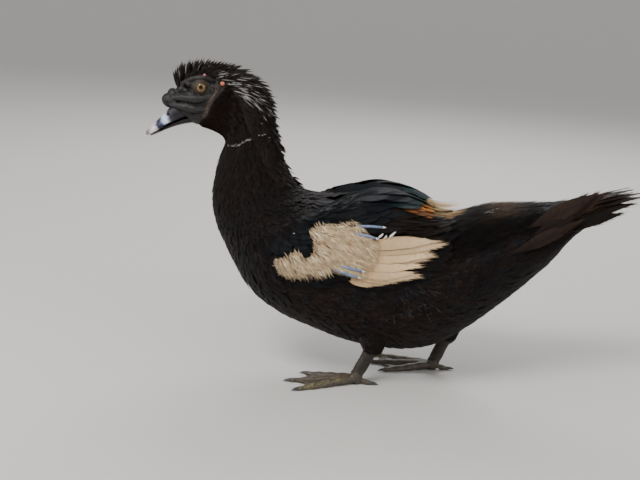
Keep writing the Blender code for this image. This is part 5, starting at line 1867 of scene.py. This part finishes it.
body_coat("brown_rump_hair", (21.6, 28.0), (0, 64), 5.4, 94, 32, 12, wisp_blanks, hairy_colours,
          tip_lift=2.2)
loose_coat("rump_flecks", sown((26.1, 17), (27.1, 22), 9, 95), 95, 2.6, 1.0, small_blanks,
           PALE * 0.4, PALE * 0.7, white_plumage, (3.0, 3.6), slot="white_feather")
loose_coat("flank_wisps", sown((22.3, 82), (24.0, 108), 34, 96), 96, 9, 2.2, wisp_blanks, BLACK,
           np.array((0.105, 0.098, 0.094)), black_plumage, (0.6, 3.0), 4.0, 8.0)
loose_coat("tail_wisps", sown((31.2, 20), (32.0, 80), 8, 97), 97, 26, 7, wisp_blanks, BROWN, BROWN * 2,
           black_plumage, (2.0, 5.0))


# Crest and nape.

def crest_frames(spacing, seed, t_range, reach=(0.8, 1.08), droop=30.0, pick=None, outer=1.1,
                 sink=-0.8, up=0):
    """Raised feathers of the crest, and the random draws that go on from them. Pick chooses
    among them, outer is how far out they stand and up how much steeper, in degrees."""
    chance = np.random.default_rng(seed)
    t, angle = scattered(t_range, (0, 76), spacing, seed)
    degrees = from_back(angle)
    half, length, lie = (np.interp(t, CREST_TABLE[:, 0], CREST_TABLE[:, k]) for k in (1, 2, 3))
    chosen = degrees < half * outer
    if pick is not None:
        chosen &= pick(t, degrees, chance)
    t, angle, degrees, half, length, lie = (v[chosen] for v in (t, angle, degrees, half, length, lie))
    count, aside = len(t), degrees / half
    length = length * chance.uniform(*reach, count) * (1 - 0.25 * aside ** 2)
    lie = (lie + chance.uniform(-8, 8, count)) * (1 - 0.5 * aside ** 2) + up
    twist, sway = chance.uniform(-28, 28, count), chance.uniform(-0.16, 0.16, count)
    return risen(t, angle, length, lie, sink, twist, sway, 7, droop), chance


CREST_BROWN = np.array((0.0135, 0.0092, 0.0074))
CREST_GREY, FOREHEAD_GREY = np.array((0.10, 0.10, 0.11)), np.array((0.08, 0.08, 0.085))
DIM_WHITE, CREST_WHITE = np.array((0.26, 0.26, 0.27)), np.array((0.50, 0.485, 0.49))


def crest_feathers():
    plumes, chance = crest_frames(1.75, 70, (0.9, 12.0))
    count = len(plumes)
    width = chance.uniform(2.4, 4.2, count) * np.interp(plumes.t, (1, 4, 7, 11), (0.9, 1.0, 1.05, 1.1))
    grey = np.where(plumes.t < 4, 0.35, 0.18) * chance.random(count)
    coat("crest_feathers", black_plumage, plumes, lance_blanks, width, FINE, BLACK, CREST_BROWN,
         CREST_GREY, grey, seed=70, replaced=("crest",))
    plumes, chance = crest_frames(1.3, 77, (0.9, 3.0), (0.62, 1.0), 26.0)
    count = len(plumes)
    width = chance.uniform(2.2, 3.6, count)
    coat("forehead_feathers", black_plumage, plumes, lance_blanks, width, FINE, BLACK, BLACK * 1.3,
         FOREHEAD_GREY, 0.2 * chance.random(count), seed=77)
    plumes, chance = crest_frames(1.7, 71, (0.9, 7.6), (0.5, 1.0), 24.0, white_places, 1.04, 1.1, 6)
    count = len(plumes)
    front = plumes.t < 3.6
    width = np.where(front, 1.3, 1.25) * chance.uniform(0.6, 1.5, count)
    tip = np.where(front[:, None], DIM_WHITE, CREST_WHITE) * chance.uniform(0.5, 1.25, (count, 1))
    share = np.where(front, 0.3, chance.uniform(0.1, 0.9, count))
    coat("white_edged_crest_feathers", white_plumage, plumes, lance_blanks, width, FINE, BLACK, tip,
         PALE * 0.8, share, power=1.6, seed=72, wear=0.3)
    plumes, chance = crest_frames(5.6, 73, (6.6, 12.8), (0.75, 1.15), 34.0, None, 0.9, -0.6, 17)
    width = chance.uniform(3.0, 5.4, len(plumes))
    coat("nape_tufts", black_plumage, plumes, lance_blanks, width, FINE, BLACK, BLACK * 1.4, BLACK_EDGE,
         0.4, seed=74)


def white_places(t, degrees, chance):
    """The streaks lie in bunches on the sides and the back of the head, some flecks in front."""
    draw = chance.random(len(t))
    bunch = 0.5 + 0.5 * np.sin(degrees * 0.42 + t * 2.1)
    side = (t > 3.7) & (t < 7.5) & (degrees > 16)
    side &= degrees < spread(((3.7, 66), (5.6, 58), (7.5, 36)), t)
    side &= draw < 0.16 + 0.62 * bunch
    front = (t < 3.4) & (draw < 0.22)
    return side | front


crest_feathers()


# The thin broken white line where the head's short feathers meet the neck's, and flecks above it.
THROAT_LINE = ((-171, 286.3), (-163, 286.5), (-155, 288), (-149, 292.3), (-141, 295.8))
FLECKS = (
    (-134, 299), (-130.5, 299.5), (-128, 302), (-131, 315), (-129, 319), (-126, 317), (-122, 308),
    (-119, 302), (-116, 298), (-114, 303), (-123, 297),
)


def white_flecks():
    chance = np.random.default_rng(75)
    t, angle = [], []
    line = tempered(THROAT_LINE, 84)
    kept = [(x, z) for x, z in line if chance.random() < (0.45 if x < -157 else 0.6)]
    spots = [(x + chance.uniform(-0.6, 0.6), z + chance.uniform(-0.6, 0.6)) for x, z in kept]
    on_line = len(spots)
    spots += [(x + chance.uniform(-1, 1), z + chance.uniform(-1, 1)) for x, z in FLECKS]
    for x, z in spots:
        station, turn = located(x, z, (4.5, 10.5), (4, 178))
        for side in (1, -1):
            t.append(station + chance.uniform(-0.03, 0.03))
            angle.append(side * turn)
    t, angle = np.array(t), np.array(angle)
    length = chance.uniform(1.8, 3.2, len(t))
    slant = chance.uniform(-0.5, 0.7, len(t))
    lift = np.where(np.arange(len(t)) < 2 * on_line, 0.8, 5.6)
    plumes = laid(t, angle, t + length * np.sin(slant) / lengths_back(t, angle),
                  angle - np.sign(angle) * length * np.cos(slant) / 30, lift, lift + 0.6, steps=3)
    wide = chance.uniform(0.4, 0.75, len(t)) * np.where(lift > 1, 1.8, 1)
    coat("white_flecks", white_plumage, plumes, small_blanks, wide, 0.25, PALE * 0.35, PALE * 0.7,
         PALE * 0.7, 0.5, seed=76)


white_flecks()


def shank_feathers():
    """Short feathers on the shanks, down to the ankle joint."""
    chance = np.random.default_rng(78)
    centres, normals, ts, angles = [], [], [], []
    count = 620               # on each shank
    for data in FEET.values():
        start = chance.uniform(0.35, 1.95, count)
        turn = chance.uniform(0, 2 * np.pi, count)
        reach = chance.uniform(11, 15, count) / 22
        along = np.minimum(start[:, None] + reach[:, None] * np.linspace(0, 1, 5), 3.0)
        middle = between(shank_line(data["hock"]), along)
        radius = np.interp(along, range(4), SHANK_RADII) + np.linspace(0.1, 2.0, 5)
        out = np.stack([np.cos(turn), np.sin(turn), np.full(count, 0.2)], -1)[:, None]
        centres.append(middle + out * radius[..., None])
        normals.append(np.broadcast_to(unit(out), (count, 5, 3)))
        t, angle = located(data["hock"][0], data["hock"][2] + 20, (18, 26), (120, 178))
        ts.append(t + 0.3 * np.cos(turn))
        angles.append(data["side"] * (angle + 0.08 * np.sin(turn)))
    plumes = frames_from(*(np.concatenate(values) for values in (centres, normals, ts, angles)))
    shade = chance.uniform(0.7, 1.3, (len(plumes), 1))
    width = chance.uniform(5, 7.5, len(plumes))
    coat("shank_feathers", black_plumage, plumes, small_blanks, width, 0.3, BLACK * shade,
         BLACK * 1.3 * shade, BLACK_EDGE * shade, 0.4, seed=79)


shank_feathers()


# Floor, light and camera.

LIGHTS = (   # name, place, width and height, power, colour
    ("key", (-1.1, -1.4, 2.1), (1.1, 0.9), 54, (1, 0.95, 0.89)),
    ("front", (-1.9, -0.6, 0.8), (0.9, 0.9), 12, (1, 1, 1)),
    ("fill", (1.5, -1.5, 1.0), (1.2, 1.0), 12, (1, 1, 1)),
    ("rim", (0.4, 1.7, 1.5), (1.6, 0.8), 26, (1, 1, 1)),
)


def soft_light(name, place, size, power, colour, aim):
    data = bpy.data.lights.new(name, "AREA")
    data.shape = "RECTANGLE"
    data.size, data.size_y = size
    data.energy = power
    data.color = colour
    light = bpy.data.objects.new(name, data)
    light.location = place
    light.rotation_euler = (Vector(aim) - Vector(place)).to_track_quat("-Z", "Y").to_euler()
    bpy.context.scene.collection.objects.link(light)


def make_floor():
    """A pale round floor that curves up far away from the bird."""
    depth, bend = 3.6, 2.2
    profile = [(0.02, 0.0), (depth, 0.0)]
    for step in range(1, 13):
        turn = math.pi / 2 * step / 12
        profile.append((depth + bend * math.sin(turn), bend * (1 - math.cos(turn))))
    profile.append((depth + bend, 4.0))
    bm = bmesh.new()
    verts = [bm.verts.new((x, 0, z)) for x, z in profile]
    edges = [bm.edges.new(pair) for pair in zip(verts, verts[1:])]
    bmesh.ops.spin(bm, geom=verts + edges, cent=(0, 0, 0), axis=(0, 0, 1), dvec=(0, 0, 0),
                   angle=2 * math.pi, steps=72, use_merge=True)
    rims = [edge for edge in bm.edges if edge.is_boundary and edge.verts[0].co.z < 0.1]
    bmesh.ops.holes_fill(bm, edges=rims, sides=0)
    bmesh.ops.recalc_face_normals(bm, faces=bm.faces)
    if sum(face.normal.z for face in bm.faces) < 0:
        bmesh.ops.reverse_faces(bm, faces=bm.faces)
    finish = principled("pale_floor", 0.85, 0.15, Base_Color=(0.60, 0.59, 0.575, 1))[0]
    floor = piece("floor", bm, finish)


make_floor()
low, high = cad_box
for light in LIGHTS:
    soft_light(*light, aim=(low + high) / 2)
world = bpy.data.worlds.new("pale_room")
world.use_nodes = True
background = world.node_tree.nodes["Background"]
background.inputs["Color"].default_value = (0.88, 0.87, 0.87, 1)
background.inputs["Strength"].default_value = 0.75
bpy.context.scene.world = world

lens = bpy.data.cameras.new("camera")
lens.lens = 67.5
lens.sensor_width = 36
lens.clip_start = 0.01
camera = bpy.data.objects.new("camera", lens)
elevation, roll, distance = math.radians(14), math.radians(3.2), 1.5
aim = Vector((-0.05, 0, 0.170))        # metres, in the bird's own frame
forward = Vector((0, math.cos(elevation), -math.sin(elevation)))
right = Vector((1, 0, 0))
up = right.cross(forward)
right, up = (right * math.cos(roll) + up * math.sin(roll), up * math.cos(roll) - right * math.sin(roll))
place = aim - forward * distance + Vector(SHIFT)
frame_of = Matrix((right, up, -forward)).transposed().to_4x4()
camera.matrix_world = Matrix.Translation(place) @ frame_of
bpy.context.scene.collection.objects.link(camera)
bpy.context.scene.camera = camera
